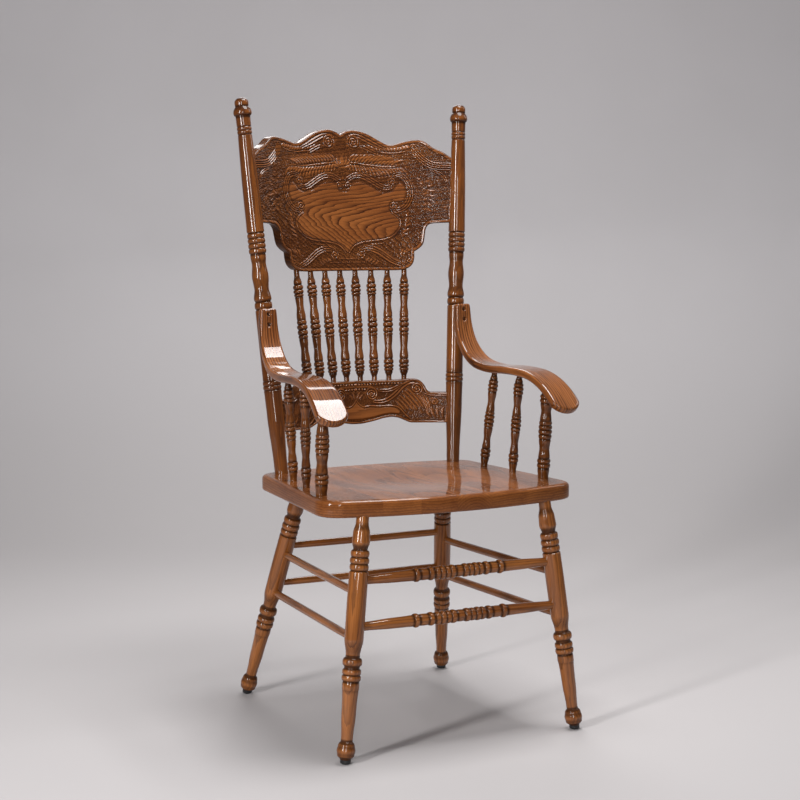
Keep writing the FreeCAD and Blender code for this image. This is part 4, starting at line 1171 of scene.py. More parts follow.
class Panel:
    """The face of a board while it is carved. Its lengths are millimetres on the flat board.

    The rim's band falls off a little to the outline, and a groove parts it from the carving. The
    face is taken in lots when distances are measured, so that they fit into memory.
    """

    BAND_FALL = 0.25
    BAND_SOFT = 0.9
    GROOVE_DEPTH = 0.7
    GROOVE_HALF = 0.8
    FULL_STAIN_SHADE_DEPTH = 1.8
    STAIN_SHADE_CURVE = 0.95
    LOTS = 24
    RIM_STEP = 3

    def __init__(self, across: np.ndarray, up: np.ndarray) -> None:
        """Takes the places of the face's points, which lie in rows and columns."""
        self.spots = np.stack([across.ravel(), up.ravel()], axis=1)
        self.height = np.zeros(len(self.spots))

    def near(self, line: np.ndarray, reach: float) -> np.ndarray:
        """The numbers of the points within reach of the box round a line."""
        low, high = line.min(axis=0) - reach, line.max(axis=0) + reach
        return np.flatnonzero(((self.spots > low) & (self.spots < high)).all(axis=1))

    def lay(self, index: np.ndarray, height: np.ndarray, cover: np.ndarray) -> None:
        """Puts heights in place of what is there, as far as the cover goes."""
        self.height[index] = self.height[index] * (1 - cover) + height * cover

    def frame_with(self, rim: np.ndarray, width: float) -> None:
        """Leaves a plain band along the outline, parted from the carving by a groove."""
        for some in np.array_split(np.arange(len(self.spots)), self.LOTS):
            distance = np.abs(nearest(self.spots[some], rim[:: self.RIM_STEP])[0])
            groove = np.exp(-(((distance - width - self.BAND_SOFT) / self.GROOVE_HALF) ** 2))
            cover = 1 - eased((distance - width) / self.BAND_SOFT)
            self.lay(some, -self.BAND_FALL * eased(distance / width), cover)
            self.height[some] -= self.GROOVE_DEPTH * groove

    def darkness(self) -> np.ndarray:
        """Painted shade and stain: the lower the face is pressed, the darker it is painted."""
        return np.clip(-self.height / self.FULL_STAIN_SHADE_DEPTH, 0.0, 1.0) ** self.STAIN_SHADE_CURVE


@dataclass(frozen=True)
class Ground:
    """Ground pressed back and covered with small winding ridges."""

    depth: float = 1.45
    wave: float = 3.9
    wave_spread: Pair = (0.75, 1.3)
    waves: int = 26
    ridge: float = 0.95
    ridge_half: float = 0.42
    seed: int = 11

    def press(self, panel: Panel) -> None:
        """Presses the ground.

        Waves in many directions are added up. Where their sum crosses zero there is a ridge,
        which gives winding ridges about half a wave apart.
        """
        pick = np.random.default_rng(self.seed)
        heading = pick.uniform(0, math.pi, self.waves)
        number = 2 * math.pi / (self.wave * 2 * pick.uniform(*self.wave_spread, self.waves))
        offset = pick.uniform(0, 2 * math.pi, self.waves)
        along = panel.spots[:, :1] * np.cos(heading) + panel.spots[:, 1:] * np.sin(heading)
        total = np.sin(along * number + offset).sum(axis=1) / math.sqrt(self.waves / 2)
        panel.height[:] = -self.depth + self.ridge * np.exp(-((total / self.ridge_half) ** 2))


class Pressed:
    """What stands between a groove's depth and a crown's height, in millimetres, with a soft border."""

    crown: float
    groove: float
    soft: float

    def raise_up(self, panel: Panel, index: np.ndarray, rise: np.ndarray, beyond: np.ndarray) -> None:
        """Presses a form into the face.

        Args:
            panel: the face.
            index: the numbers of the face's points near the form.
            rise: how far each point rises from the groove to the crown, from 0 to 1.
            beyond: how far each point lies beyond the form's border.
        """
        height = self.groove + (self.crown - self.groove) * rise
        panel.lay(index, height, 1 - eased(beyond / self.soft))


@dataclass(frozen=True)
class Ribbon(Pressed):
    """A bundle of parallel ridges along a curve, closer together at its ends."""

    points: tuple[Pair, ...]
    ridges: int = 3
    pitch: float = 4.4
    ends: Pair = (0.6, 0.6)
    crown: float = 0.45
    groove: float = -2.0
    soft: float = 0.8
    fullness: float = 0.8

    def press(self, panel: Panel) -> None:
        """Presses the ridges: the height is a cosine of the distance from the curve."""
        line = curve_through(np.array(self.points), 8)
        index = panel.near(line, self.ridges * self.pitch)
        distance, along = nearest(panel.spots[index], line)
        share = along / span(line)
        pitch = self.pitch * np.interp(share, [0, 0.3, 0.7, 1], [self.ends[0], 1, 1, self.ends[1]])
        phase = distance / pitch + (0.0 if self.ridges % 2 else 0.5)
        wave = 0.5 + 0.5 * np.cos(2 * math.pi * phase)
        half = pitch * self.ridges / 2
        self.raise_up(panel, index, wave**self.fullness, np.abs(distance) - half)


@dataclass(frozen=True)
class Curl(Pressed):
    """A round scroll end: a spiral ridge that winds into a boss."""

    spot: Pair
    radius: float = 8.0
    hand: float = 1.0
    start: float = 0.0
    pitch: float = 4.6
    crown: float = 0.6
    groove: float = -2.1
    soft: float = 0.9
    fullness: float = 0.8
    boss_radius: float = 1.9
    boss_height: float = 1.15

    def press(self, panel: Panel) -> None:
        """Presses the spiral: the ridge moves out by one pitch in each turn."""
        middle = np.array([self.spot])
        index = panel.near(middle, self.radius + 2)
        away = panel.spots[index] - middle
        radius = np.hypot(away[:, 0], away[:, 1])
        turn = np.arctan2(away[:, 1], away[:, 0]) * self.hand / (2 * math.pi)
        wave = 0.5 + 0.5 * np.cos(2 * math.pi * (radius / self.pitch - turn - self.start))
        boss = np.exp(-((radius / self.boss_radius) ** 2)) * self.boss_height
        self.raise_up(panel, index, np.maximum(wave**self.fullness, boss), radius - self.radius)


@dataclass(frozen=True)
class Feather(Pressed):
    """A row of slim leaves that leave a stem on one side."""

    stem: tuple[Pair, ...]
    count: int
    heading: Pair
    length: Triple
    width: float = 4.6
    bend: float = 0.12
    crown: float = 0.2
    groove: float = -1.7
    soft: float = 0.7

    def leaf(self, foot: np.ndarray, share: float) -> np.ndarray:
        """The middle line of the leaf at a share of the stem: a run with a slight, even bend."""
        angle = math.radians(np.interp(share, [0, 1], self.heading))
        length = float(np.interp(share, [0, 0.5, 1], self.length))
        way = np.array([math.cos(angle), math.sin(angle)])
        side = np.array([-way[1], way[0]])
        reach = np.linspace(0, 1, 9)[:, None]
        return foot + way * length * reach + side * length * self.bend * 4 * reach * (1 - reach)

    def half_width(self, share: np.ndarray) -> np.ndarray:
        """Half a leaf's width: a sine that is fullest a little before the leaf's middle."""
        return self.width / 2 * np.sin(math.pi * np.clip(share, 0.02, 0.98) ** 0.7) ** 0.6

    def press(self, panel: Panel) -> None:
        """Presses each leaf with a rounded back that narrows to both its ends."""
        stem = even_stations(curve_through(np.array(self.stem), 8), self.count)
        for number, foot in enumerate(stem):
            line = self.leaf(foot, number / max(self.count - 1, 1))
            index = panel.near(line, self.width)
            distance, along = nearest(panel.spots[index], line)
            half = self.half_width(along / span(line))
            round_back = np.sqrt(np.clip(1 - (distance / half) ** 2, 0, 1))
            self.raise_up(panel, index, round_back, np.abs(distance) - half)


@dataclass(frozen=True)
class Beads(Pressed):
    """A row of beads along a curve, slanted like a rope where asked."""

    points: tuple[Pair, ...]
    pitch: float = 5.0
    radius: float = 2.2
    slant: float = 0.0
    crown: float = 0.25
    groove: float = -1.7
    border: float = 0.4
    soft: float = 0.8

    def press(self, panel: Panel) -> None:
        """Presses the beads: each is a half ball in its own stretch of the curve."""
        line = curve_through(np.array(self.points), 8)
        index = panel.near(line, self.radius * 2)
        distance, along = nearest(panel.spots[index], line)
        cell = (along + self.slant * distance) % self.pitch - self.pitch / 2
        away = np.hypot(cell, distance / (1.0 + abs(self.slant))) / self.radius
        dome = np.sqrt(np.clip(1 - away**2, 0, 1))
        self.raise_up(panel, index, dome, np.abs(distance) - self.radius - self.border)


@dataclass(frozen=True)
class Field:
    """A smooth field inside a closed line, with a moulded edge."""

    points: tuple[Pair, ...]
    level: float = -0.15
    edge_depth: float = 1.1
    fall: float = 2.4

    def press(self, panel: Panel) -> None:
        """Smooths the field. A point lies inside when a ray from it crosses the line oddly often."""
        line = curve_through(np.array(self.points + self.points[:1]), 5)
        index = panel.near(line, self.fall)
        spots = panel.spots[index]
        start, end = line[:-1], line[1:]
        between = (start[:, 1] > spots[:, 1:]) != (end[:, 1] > spots[:, 1:])
        rise = end[:, 1] - start[:, 1]
        rise = np.where(rise == 0, SMALLEST, rise)
        crossing = start[:, 0] + (spots[:, 1:] - start[:, 1]) * (end[:, 0] - start[:, 0]) / rise
        inside = (between & (spots[:, :1] < crossing)).sum(axis=1) % 2 == 1
        index, spots = index[inside], spots[inside]
        distance = np.abs(nearest(spots, line)[0])
        edge = self.edge_depth * (1 - eased(distance / self.fall))
        panel.lay(index, self.level - edge, np.ones(len(index)))


Ornament = Field | Ribbon | Curl | Feather | Beads

CREST_ORNAMENTS: list[Ornament] = [
    # The plain cartouche in the middle
    Field(
        (
            (-9, 997), (9, 996), (17, 1008), (30, 1014), (44, 1013), (58, 1006.5), (72, 998.5), (88, 994),
            (104, 998), (114, 1009), (122, 1013), (129, 1004), (130, 990), (125, 978), (112, 976),
            (101, 976), (95, 966), (97, 955.5), (108, 948), (114, 939), (113.5, 927), (107, 917.5),
            (97, 908.5), (82, 902.5), (61, 899.5), (40, 897), (24, 893.5), (12, 887), (4, 877), (-9, 877),
        ),
    ),
    # Two rows of leaves over it with a rib between them, and a spray in the middle
    Feather(
        ((16, 1057), (61, 1051), (104, 1048)),
        count=14, heading=(40, 20), length=(20, 34, 30), width=5.2, bend=0.1,
    ),
    Feather(
        ((14, 1050), (61, 1043.5), (120, 1043)),
        count=17, heading=(-78, -44), length=(14, 25, 26), width=5,
    ),
    Ribbon(
        ((12, 1054), (39, 1050.5), (61, 1048), (86, 1045.5), (126, 1046)),
        ridges=1, pitch=4.2, ends=(0.8, 0.5),
    ),
    Feather(
        ((0, 1042), (2, 1043), (5, 1043.5)),
        count=4, heading=(90, 24), length=(26, 24, 18), width=6, bend=-0.1,
    ),
    # The rope and the folds along the top edge, and the scroll they end in
    Beads(
        ((60, 1084), (84, 1081.5), (104, 1079.5), (124, 1081), (140, 1085)),
        pitch=6.4, radius=3.6, slant=0.6, crown=0.6, groove=-2,
    ),
    Ribbon(((66, 1076), (84, 1074.5), (104, 1072.5), (124, 1074), (143, 1080)), ridges=1, pitch=3.6),
    Ribbon(
        ((94, 1080), (72, 1090), (53, 1099.5), (40, 1105), (28, 1106.5), (17, 1103)),
        ridges=2, pitch=5.6,
    ),
    Ribbon(((78, 1071), (61, 1079), (49, 1084), (40, 1084)), ridges=2, pitch=4.8),
    Curl((28, 1093.5), radius=13.5, start=0.1, pitch=5.2),
    # The folds that run out to the post
    Ribbon(
        ((150, 1086), (155, 1073), (165, 1061), (177, 1051.5), (190, 1047), (216, 1045.5)),
        ridges=4, pitch=4.2, ends=(0.7, 1),
    ),
    Ribbon(((181, 1039), (192, 1034.5), (201, 1028), (208, 1016)), ridges=2, pitch=4),
    Ribbon(((196, 1071), (186, 1080), (181, 1088)), ridges=1),
    # The folds round the cartouche and their scrolls
    Ribbon(
        (
            (10, 1019), (24, 1026), (38, 1027), (53, 1022), (68, 1013.5), (82, 1005.5), (93, 1003),
            (103, 1006),
        ),
        pitch=4.6, ends=(0.9, 0.8),
    ),
    Ribbon(
        (
            (107, 1026), (117, 1029), (128, 1025), (136, 1014), (139.5, 999), (138, 984), (131, 970),
            (120, 961), (108, 957.5),
        ),
        ends=(0.8, 0.9),
    ),
    Curl((9.5, 1007.5), radius=8.2, hand=-1, start=0.45),
    Curl((104.5, 1015), start=0.2),
    Curl((103, 966.5), radius=8.6, hand=-1, start=0.6),
    Ribbon(
        (
            (99, 954), (109, 947), (116, 938.5), (115.5, 926.5), (109, 915.5), (98, 906.5), (82, 900.5),
            (61, 897.5), (40, 895), (24, 891), (12, 884), (4, 874),
        ),
        ridges=1, pitch=4.6, ends=(1, 1),
    ),
    Ribbon(((86, 893), (61, 890.5), (36, 888), (22, 882)), ridges=1, pitch=3.6),
    # The folds, scroll, leaves and beads at the foot
    Ribbon(
        ((112, 850), (96, 857), (83, 866), (70, 875), (55, 881), (41, 882), (31, 879)),
        pitch=4.8, ends=(0.8, 0.8),
    ),
    Curl((30, 870), radius=8.4, hand=-1, start=0.3),
    Feather(
        ((66, 858), (54, 862), (46, 863)),
        count=4, heading=(-140, -150), length=(12, 12, 10), width=4.2,
    ),
    Beads(((-4, 855), (24, 855), (40, 855)), pitch=4.6, radius=1.8),
    Ribbon(((-6, 862), (8, 862), (20, 862.5)), ridges=1, pitch=3, ends=(1, 1)),
    # Loose leaves and scrolls in the ground beside the cartouche
    Feather(
        ((117, 905), (124, 922), (130, 944)),
        count=6, heading=(20, 70), length=(15, 17, 12), width=5,
    ),
    Feather(
        ((113, 868), (122, 872), (130, 878)),
        count=4, heading=(60, 20), length=(17, 15, 10), width=5,
    ),
    Curl((156, 908), radius=6.5, pitch=4),
    Curl((128, 856), radius=6, hand=-1, start=0.3, pitch=4),
    Feather(
        ((164, 1024), (172, 1008), (175, 985), (171, 962)),
        count=8, heading=(35, -45), length=(9, 12, 9), width=4.2, bend=-0.16,
    ),
    Feather(
        ((160, 1020), (167, 1004), (169, 985), (166, 962)),
        count=7, heading=(150, 215), length=(7, 9, 8), width=4, bend=0.16,
    ),
]

RAIL_ORNAMENTS: list[Ornament] = [
    # The plain field in the middle
    Field(
        (
            (-8, 542), (14, 543), (38, 546.5), (58, 551), (75, 553), (89, 551), (93, 556), (84, 564),
            (68, 566.5), (50, 565.5), (30, 567), (16, 566), (4, 578), (-8, 578),
        ),
    ),
    # Two rows of beads along the top edge with a rib between them
    Beads(((-8, 612.2), (40, 612.2), (92, 612.6)), pitch=6.4, radius=2.3, crown=0.8, groove=-2.2),
    Beads(((-8, 602.4), (10, 602.4), (24, 602)), pitch=6.4, radius=2.3, crown=0.8, groove=-2.2),
    Ribbon(((-6, 607.3), (16, 607.3), (34, 607.5)), ridges=1, ends=(1, 1), crown=-0.3, groove=-1.2),
    # The rib over the field and the spray in the middle
    Ribbon(
        (
            (0, 582), (6, 574), (16, 567.5), (29, 569.5), (51, 568), (72, 568.5), (88, 565.5), (97, 558),
            (104, 549), (113, 541),
        ),
        ridges=1, pitch=4, ends=(1, 1),
    ),
    Feather(((0, 584), (4, 584), (8, 583)), count=3, heading=(90, 48), length=(16, 15, 12), width=5),
    # The folds that wind into the inner scroll
    Ribbon(
        (
            (40, 577.5), (56, 577), (71, 582), (86, 592.5), (99, 605.5), (110, 612.5), (122, 615),
            (134, 612), (141, 604),
        ),
        ridges=2, pitch=5.4, ends=(0.7, 0.9),
    ),
    Ribbon(((46, 600.5), (62, 598.5), (76, 600), (90, 606), (99, 611)), ridges=2, pitch=4.2),
    Curl((35, 592.5), radius=13, start=0.3, pitch=4.8),
    # Long leaves under the folds, and the scrolls and leaves out to the post
    Feather(
        ((108, 603), (96, 590), (84, 578)),
        count=6, heading=(-52, -48), length=(52, 44, 26), width=4.4, bend=0.04,
    ),
    Feather(
        ((122, 596), (134, 587), (146, 584)),
        count=5, heading=(-58, -80), length=(44, 38, 30), bend=0.05,
    ),
    Curl((128, 601.5), radius=11, hand=-1, start=0.1, pitch=5),
    Curl((160, 575), radius=6.5, start=0.4, pitch=4),
    Ribbon(((143, 592), (156, 588), (190, 588)), ridges=1, pitch=4, ends=(1, 1)),
    Feather(
        ((152, 545), (168, 545), (182, 545)),
        count=5, heading=(112, 70), length=(20, 24, 20), width=4.8,
    ),
]


# The carved boards of the back


Edge = list[list[Pair]]


@dataclass
class Board:
    """A bowed board between the posts, sawn to an outline and rounded at its edges."""

    name: str
    oak: bpy.types.Material
    back: Back
    bottom: float
    height: float
    bow_low: float
    bow_high: float
    lower_edge: Edge
    upper_edge: Edge
    columns: int
    rows: int
    ground: Ground
    ornaments: list[Ornament]
    plain_rim: float = 5.5
    thickness: float = 20.0
    edge_round: float = 2.6
    edge_stain_and_shade: float = 0.65
    edge_points: int = 5
    rear_rows: int = 9
    climb: float = 0.4
    log_spot: Pair = (-0.98, 0.004)

    def bent(self, across: np.ndarray, up: np.ndarray, out: np.ndarray) -> np.ndarray:
        """Lays points of the flat board on the bow between the posts.

        The bow at each height is an arc through both posts' axes whose sag grows evenly with
        the height. A point's distance across, on the middle sheet, gives its angle on the arc,
        and its distance out of the middle sheet shortens the radius.

        Args:
            across: distances from the middle line.
            up: heights above the floor.
            out: distances out of the middle sheet towards the front.

        Returns:
            The points in space.
        """
        end = self.back.post_at(up)
        share = (up / MM - self.bottom) / self.height
        sag = (self.bow_low + (self.bow_high - self.bow_low) * share) * MM
        radius = (end[..., 0] ** 2 + sag**2) / (2 * sag)
        angle = np.arcsin(across / radius)
        middle = end[..., 1] + sag - radius
        reach = radius - out
        return np.stack([reach * np.sin(angle), middle + reach * np.cos(angle), up], axis=-1)

    @staticmethod
    def half_edge(stretches: Edge) -> np.ndarray:
        """A half edge from the middle outwards, smooth within each stretch and crisp between them."""
        parts = [curve_through(np.array(stretch) * MM, 14) for stretch in stretches]
        return np.vstack([parts[0]] + [part[1:] for part in parts[1:]])

    def whole_edge(self, stretches: Edge) -> np.ndarray:
        """The edge from left to right, mirrored about the middle line."""
        half = self.half_edge(stretches)
        return np.vstack([half[:0:-1] * [-1.0, 1.0], half])

    @staticmethod
    def outward(edge: np.ndarray, sign: float) -> np.ndarray:
        """The directions square to an edge that runs from left to right, up for sign 1."""
        run = np.gradient(edge, axis=0)
        square = np.stack([-run[:, 1], run[:, 0]], axis=1) * sign
        return square / np.maximum(np.linalg.norm(square, axis=1, keepdims=True), SMALLEST)

    def edges(self) -> tuple[np.ndarray, np.ndarray]:
        """The lower and the upper edge with one point for each column.

        Columns are spread evenly along the lower edge, with its climbs made flatter, so that they
        crowd a little where it climbs. The upper point of a column lies as far across as its
        lower one, times the spread of the ends.
        """
        flatter = [1.0, self.climb]
        lower = even_stations(self.whole_edge(self.lower_edge) * flatter, self.columns) / flatter
        upper = self.whole_edge(self.upper_edge)
        spread = upper[-1, 0] / lower[-1, 0]
        wanted = lower[:, 0] * spread
        return lower, np.stack([wanted, np.interp(wanted, upper[:, 0], upper[:, 1])], axis=1)

    def relief(self, across: np.ndarray, up: np.ndarray) -> tuple[np.ndarray, np.ndarray]:
        """The carving's height above the board's face, and how dark it is painted: stain and painted shade
        in its hollows.
        """
        rim = np.vstack([self.half_edge(self.lower_edge), self.half_edge(self.upper_edge)[::-1]]) / MM
        panel = Panel(np.abs(across) / MM, up / MM)
        self.ground.press(panel)
        for ornament in self.ornaments:
            ornament.press(panel)
        panel.frame_with(rim, self.plain_rim)
        return panel.height.reshape(across.shape) * MM, panel.darkness().reshape(across.shape)

    def build(self) -> list[Dressed]:
        """Builds the board as a stack of closed loops, one for each column from left to right.

        A loop runs down the face, round the lower edge, up the back and round the upper edge.
        """
        lower, upper = self.edges()
        low_out, high_out = self.outward(lower, -1.0), self.outward(upper, 1.0)
        soft = self.edge_round * MM
        half = self.thickness * MM / 2
        low_rim = (lower - low_out * soft)[:, None]
        high_rim = (upper - high_out * soft)[:, None]
        face = low_rim + (high_rim - low_rim) * np.linspace(1, 0, self.rows)[None, :, None]
        rear = low_rim + (high_rim - low_rim) * np.linspace(0, 1, self.rear_rows)[None, :, None]
        quarter = np.linspace(0, math.pi / 2, self.edge_points)[1:-1]
        bulge, fall = soft * np.sin(quarter), soft * np.cos(quarter)
        round_out = np.concatenate([bulge, [soft, soft], fall])
        depth = np.concatenate([half - soft + fall, [half - soft, soft - half], soft - half - bulge])
        low_band = low_rim + low_out[:, None] * round_out[None, :, None]
        high_band = high_rim + high_out[:, None] * round_out[None, :, None]
        flat = np.concatenate([face, low_band, rear, high_band[:, ::-1]], axis=1)
        height, stain = self.relief(face[..., 0], face[..., 1])
        columns = len(lower)
        back = np.full((columns, self.rear_rows), -half)
        bands = [np.tile(depth, (columns, 1)), np.tile(depth[::-1], (columns, 1))]
        out = np.concatenate([half + height, bands[0], back, bands[1]], axis=1)
        # Edges and back are painted darker and with thinner lacquer: partly stain, partly painted shade that
        # dims the edges' highlights.
        rest = np.full((columns, flat.shape[1] - self.rows), self.edge_stain_and_shade)
        loops = self.bent(flat[..., 0], flat[..., 1], out)
        up, deep = self.log_spot
        grain = np.stack([flat[..., 1] + up, out + deep, flat[..., 0]], axis=-1)
        piece = skin(self.name, loops, grain, np.concatenate([stain, rest], axis=1))
        return [dressed(piece, self.oak)]


def crest_board(oak: bpy.types.Material, back: Back) -> Board:
    """The tall crest with its double-peaked top edge and stepped lower corners."""
    lower = [
        [
            (0, 838), (60, 838), (106, 838.2), (119, 840.4), (128.5, 844.6), (135.5, 852.5), (138.6, 863),
            (139.4, 875.5),
        ],
        [
            (139.4, 875.5), (149, 881.8), (156.4, 889.4), (159.4, 897.5), (161.2, 907), (163.8, 920),
            (169, 928.6), (178, 931.8), (195, 933), (214.6, 933.5),
        ],
    ]
    upper = [
        [
            (0, 1108), (7, 1112.6), (17, 1116.6), (30, 1118), (45, 1115.6), (60, 1110.6), (83, 1097.8),
            (95, 1091.6), (104, 1089.2), (113, 1089.8), (122, 1092.6), (142, 1098), (156, 1100),
            (165, 1099.4), (173, 1095.8), (181, 1089.2), (188.5, 1083.4), (203.6, 1075.4),
            (212.5, 1068.4), (223.7, 1061),
        ],
    ]
    return Board(
        name="crest_panel",
        oak=oak,
        back=back,
        bottom=838.0,
        height=280.0,
        bow_low=63.3,
        bow_high=77.7,
        lower_edge=lower,
        upper_edge=upper,
        columns=380,
        rows=220,
        ground=Ground(),
        ornaments=CREST_ORNAMENTS,
    )


def rail_board(oak: bpy.types.Material, back: Back) -> Board:
    """The low rail with its waved lower edge and a hump beside each post."""
    lower = [
        [
            (0, 534), (13.4, 534.6), (37.2, 538.5), (58.4, 543.5), (74.9, 545.4), (88.9, 543.4),
            (102.4, 537.6), (111, 534.2), (120, 533.2), (150, 533), (186.5, 533),
        ],
    ]
    upper = [
        [
            (0, 619), (60, 619), (93, 619.4), (106, 620.4), (118, 620.9), (129, 619.8), (137, 615.8),
            (143, 608.4), (147.4, 599), (152.4, 594.6), (160, 594), (191, 594),
        ],
    ]
    return Board(
        name="lower_back_rail",
        oak=oak,
        back=back,
        bottom=534.0,
        height=85.0,
        bow_low=56.0,
        bow_high=56.0,
        lower_edge=lower,
        upper_edge=upper,
        columns=360,
        rows=84,
        ground=Ground(seed=5),
        ornaments=RAIL_ORNAMENTS,
        plain_rim=4.0,
    )


# The seat


@dataclass
class Seat:
    """The solid seat: boards glued side by side, with a bowed front and a shallow dish."""

    oak: bpy.types.Material
    top: float = 455.0
    thickness: float = 30.0
    front: float = -264.0
    rear: float = 168.0
    front_half: float = 258.0
    rear_half: float = 227.0
    front_bow: float = 41.0
    rear_bow: float = 21.0
    front_corner: float = 40.0
    rear_corner: float = 34.0
    top_round: float = 8.0
    under_round: float = 5.0
    dish_depth: float = 6.0
    dish_half: Pair = (165.0, 150.0)
    dish_spread: float = 1.15
    dish_middle: float = -55.0
    log_spot: Triple = (0.0137, -0.40, 5.0)
    ring_spread: float = 0.9
    side_points: int = 240
    corner_points: int = 26
    edge_points: int = 300
    round_points: int = 9
    rings: int = 44
    innermost: float = 0.002

    @staticmethod
    def bowed_side(start: np.ndarray, end: np.ndarray, bow: float) -> np.ndarray:
        """A side from start to end that swells out by a sag: a flat parabola."""
        share = np.linspace(0, 1, 60)[:, None]
        run = end - start
        out = np.array([run[1], -run[0]]) / np.linalg.norm(run)
        return start + run * share + out * bow * 4 * share * (1 - share)

    def outline(self) -> np.ndarray:
        """The plan's outline, anticlockwise from above, with its corners rounded.

        The four sides are joined at their corners, and each corner is replaced by a curve of
        three weights: the square of what is left, twice the product, and the square of the share.
        """
        ahead, behind = self.front + self.front_bow, self.rear - self.rear_bow
        corners = [
            np.array([-self.front_half, ahead]),
            np.array([self.front_half, ahead]),
            np.array([self.rear_half, behind]),
            np.array([-self.rear_half, behind]),
        ]
        bows = [self.front_bow, 0.0, self.rear_bow, 0.0]
        cuts = [self.front_corner, self.front_corner, self.rear_corner, self.rear_corner]
        sides = []
        for number, start in enumerate(corners):
            following = (number + 1) % 4
            bowed = self.bowed_side(start, corners[following], bows[number])
            side = even_stations(bowed, self.side_points)
            along = lengths_along(side)
            sides.append(side[(along >= cuts[number]) & (along <= along[-1] - cuts[following])])
        share = np.linspace(0, 1, self.corner_points)[1:-1, None]
        whole = []
        for number, side in enumerate(sides):
            following = (number + 1) % 4
            bend, goal = corners[following], sides[following][0]
            turn = side[-1] * (1 - share) ** 2 + bend * 2 * share * (1 - share) + goal * share**2
            whole += [side, turn]
        closed = np.vstack(whole + [whole[0][:1]])
        return even_stations(closed, self.edge_points + 1)[:-1] * MM

    def dish(self, spot: np.ndarray) -> np.ndarray:
        """How deep the seat is hollowed: a bowl whose sides ease out to its rim."""
        wide, long = (half * MM * self.dish_spread for half in self.dish_half)
        away = np.hypot(spot[..., 0] / wide, (spot[..., 1] - self.dish_middle * MM) / long)
        return self.dish_depth * MM * (1 - eased(away))

    def build(self) -> list[Dressed]:
        """Builds the seat as rings from the middle of its underside out, round and in again."""
        edge = self.outline()
        run = np.roll(edge, -1, axis=0) - np.roll(edge, 1, axis=0)
        out = np.stack([run[:, 1], -run[:, 0]], axis=1)
        out /= np.linalg.norm(out, axis=1, keepdims=True)
        middle = np.array([0.0, self.dish_middle * MM])
        top, under = self.top * MM, (self.top - self.thickness) * MM
        high, low = self.top_round * MM, self.under_round * MM
        quarter = np.linspace(0, math.pi / 2, self.round_points)
        share = np.linspace(self.innermost, 1, self.rings)
        low_rim = edge - out * low
        high_rim = edge - out * high
        spread = share[:, None, None] ** self.ring_spread
        under_rings = middle + (low_rim - middle) * spread
        low_band = low_rim + out * (low * np.sin(quarter))[1:, None, None]
        high_band = high_rim + out * (high * np.cos(quarter))[:, None, None]
        over_rings = middle + (high_rim - middle) * spread[::-1][1:]
        plan = np.concatenate([under_rings, low_band, high_band, over_rings])
        heights = np.concatenate(
            [
                np.full(len(under_rings), under),
                under + low - low * np.cos(quarter)[1:],
                top - high + high * np.sin(quarter),
                np.full(len(over_rings), top),
            ]
        )
        z = np.broadcast_to(heights[:, None], plan.shape[:2]).copy()
        over = slice(len(plan) - len(over_rings) - 1, None)
        z[over] -= self.dish(plan[over])
        loops = np.concatenate([plan, z[..., None]], axis=-1)
        grain = np.stack([plan[..., 0], z, plan[..., 1]], axis=-1) + np.array(self.log_spot)
        return [dressed(skin("seat", loops, grain, np.zeros(z.shape)), self.oak)]


# The studio


@dataclass(frozen=True)
class Lamp:
    """A soft rectangular lamp that faces a point, its size across and up in metres."""

    name: str
    spot: Triple
    size: Pair
    watts: float
    target: Triple = (0.0, 0.0, 0.6)

    def hang(self) -> None:
        """Hangs the lamp upright, turned about the vertical and tilted towards its target."""
        data = bpy.data.lights.new(self.name, "AREA")
        data.shape = "RECTANGLE"
        data.size, data.size_y = self.size
        data.energy = self.watts
        lamp = bpy.data.objects.new(self.name, data)
        way = unit(np.array(self.target) - np.array(self.spot))
        turn = math.atan2(way[1], way[0]) - math.pi / 2
        lamp.rotation_euler = (math.pi / 2 + math.asin(way[2]), 0.0, turn)
        lamp.location = self.spot
        bpy.context.scene.collection.objects.link(lamp)


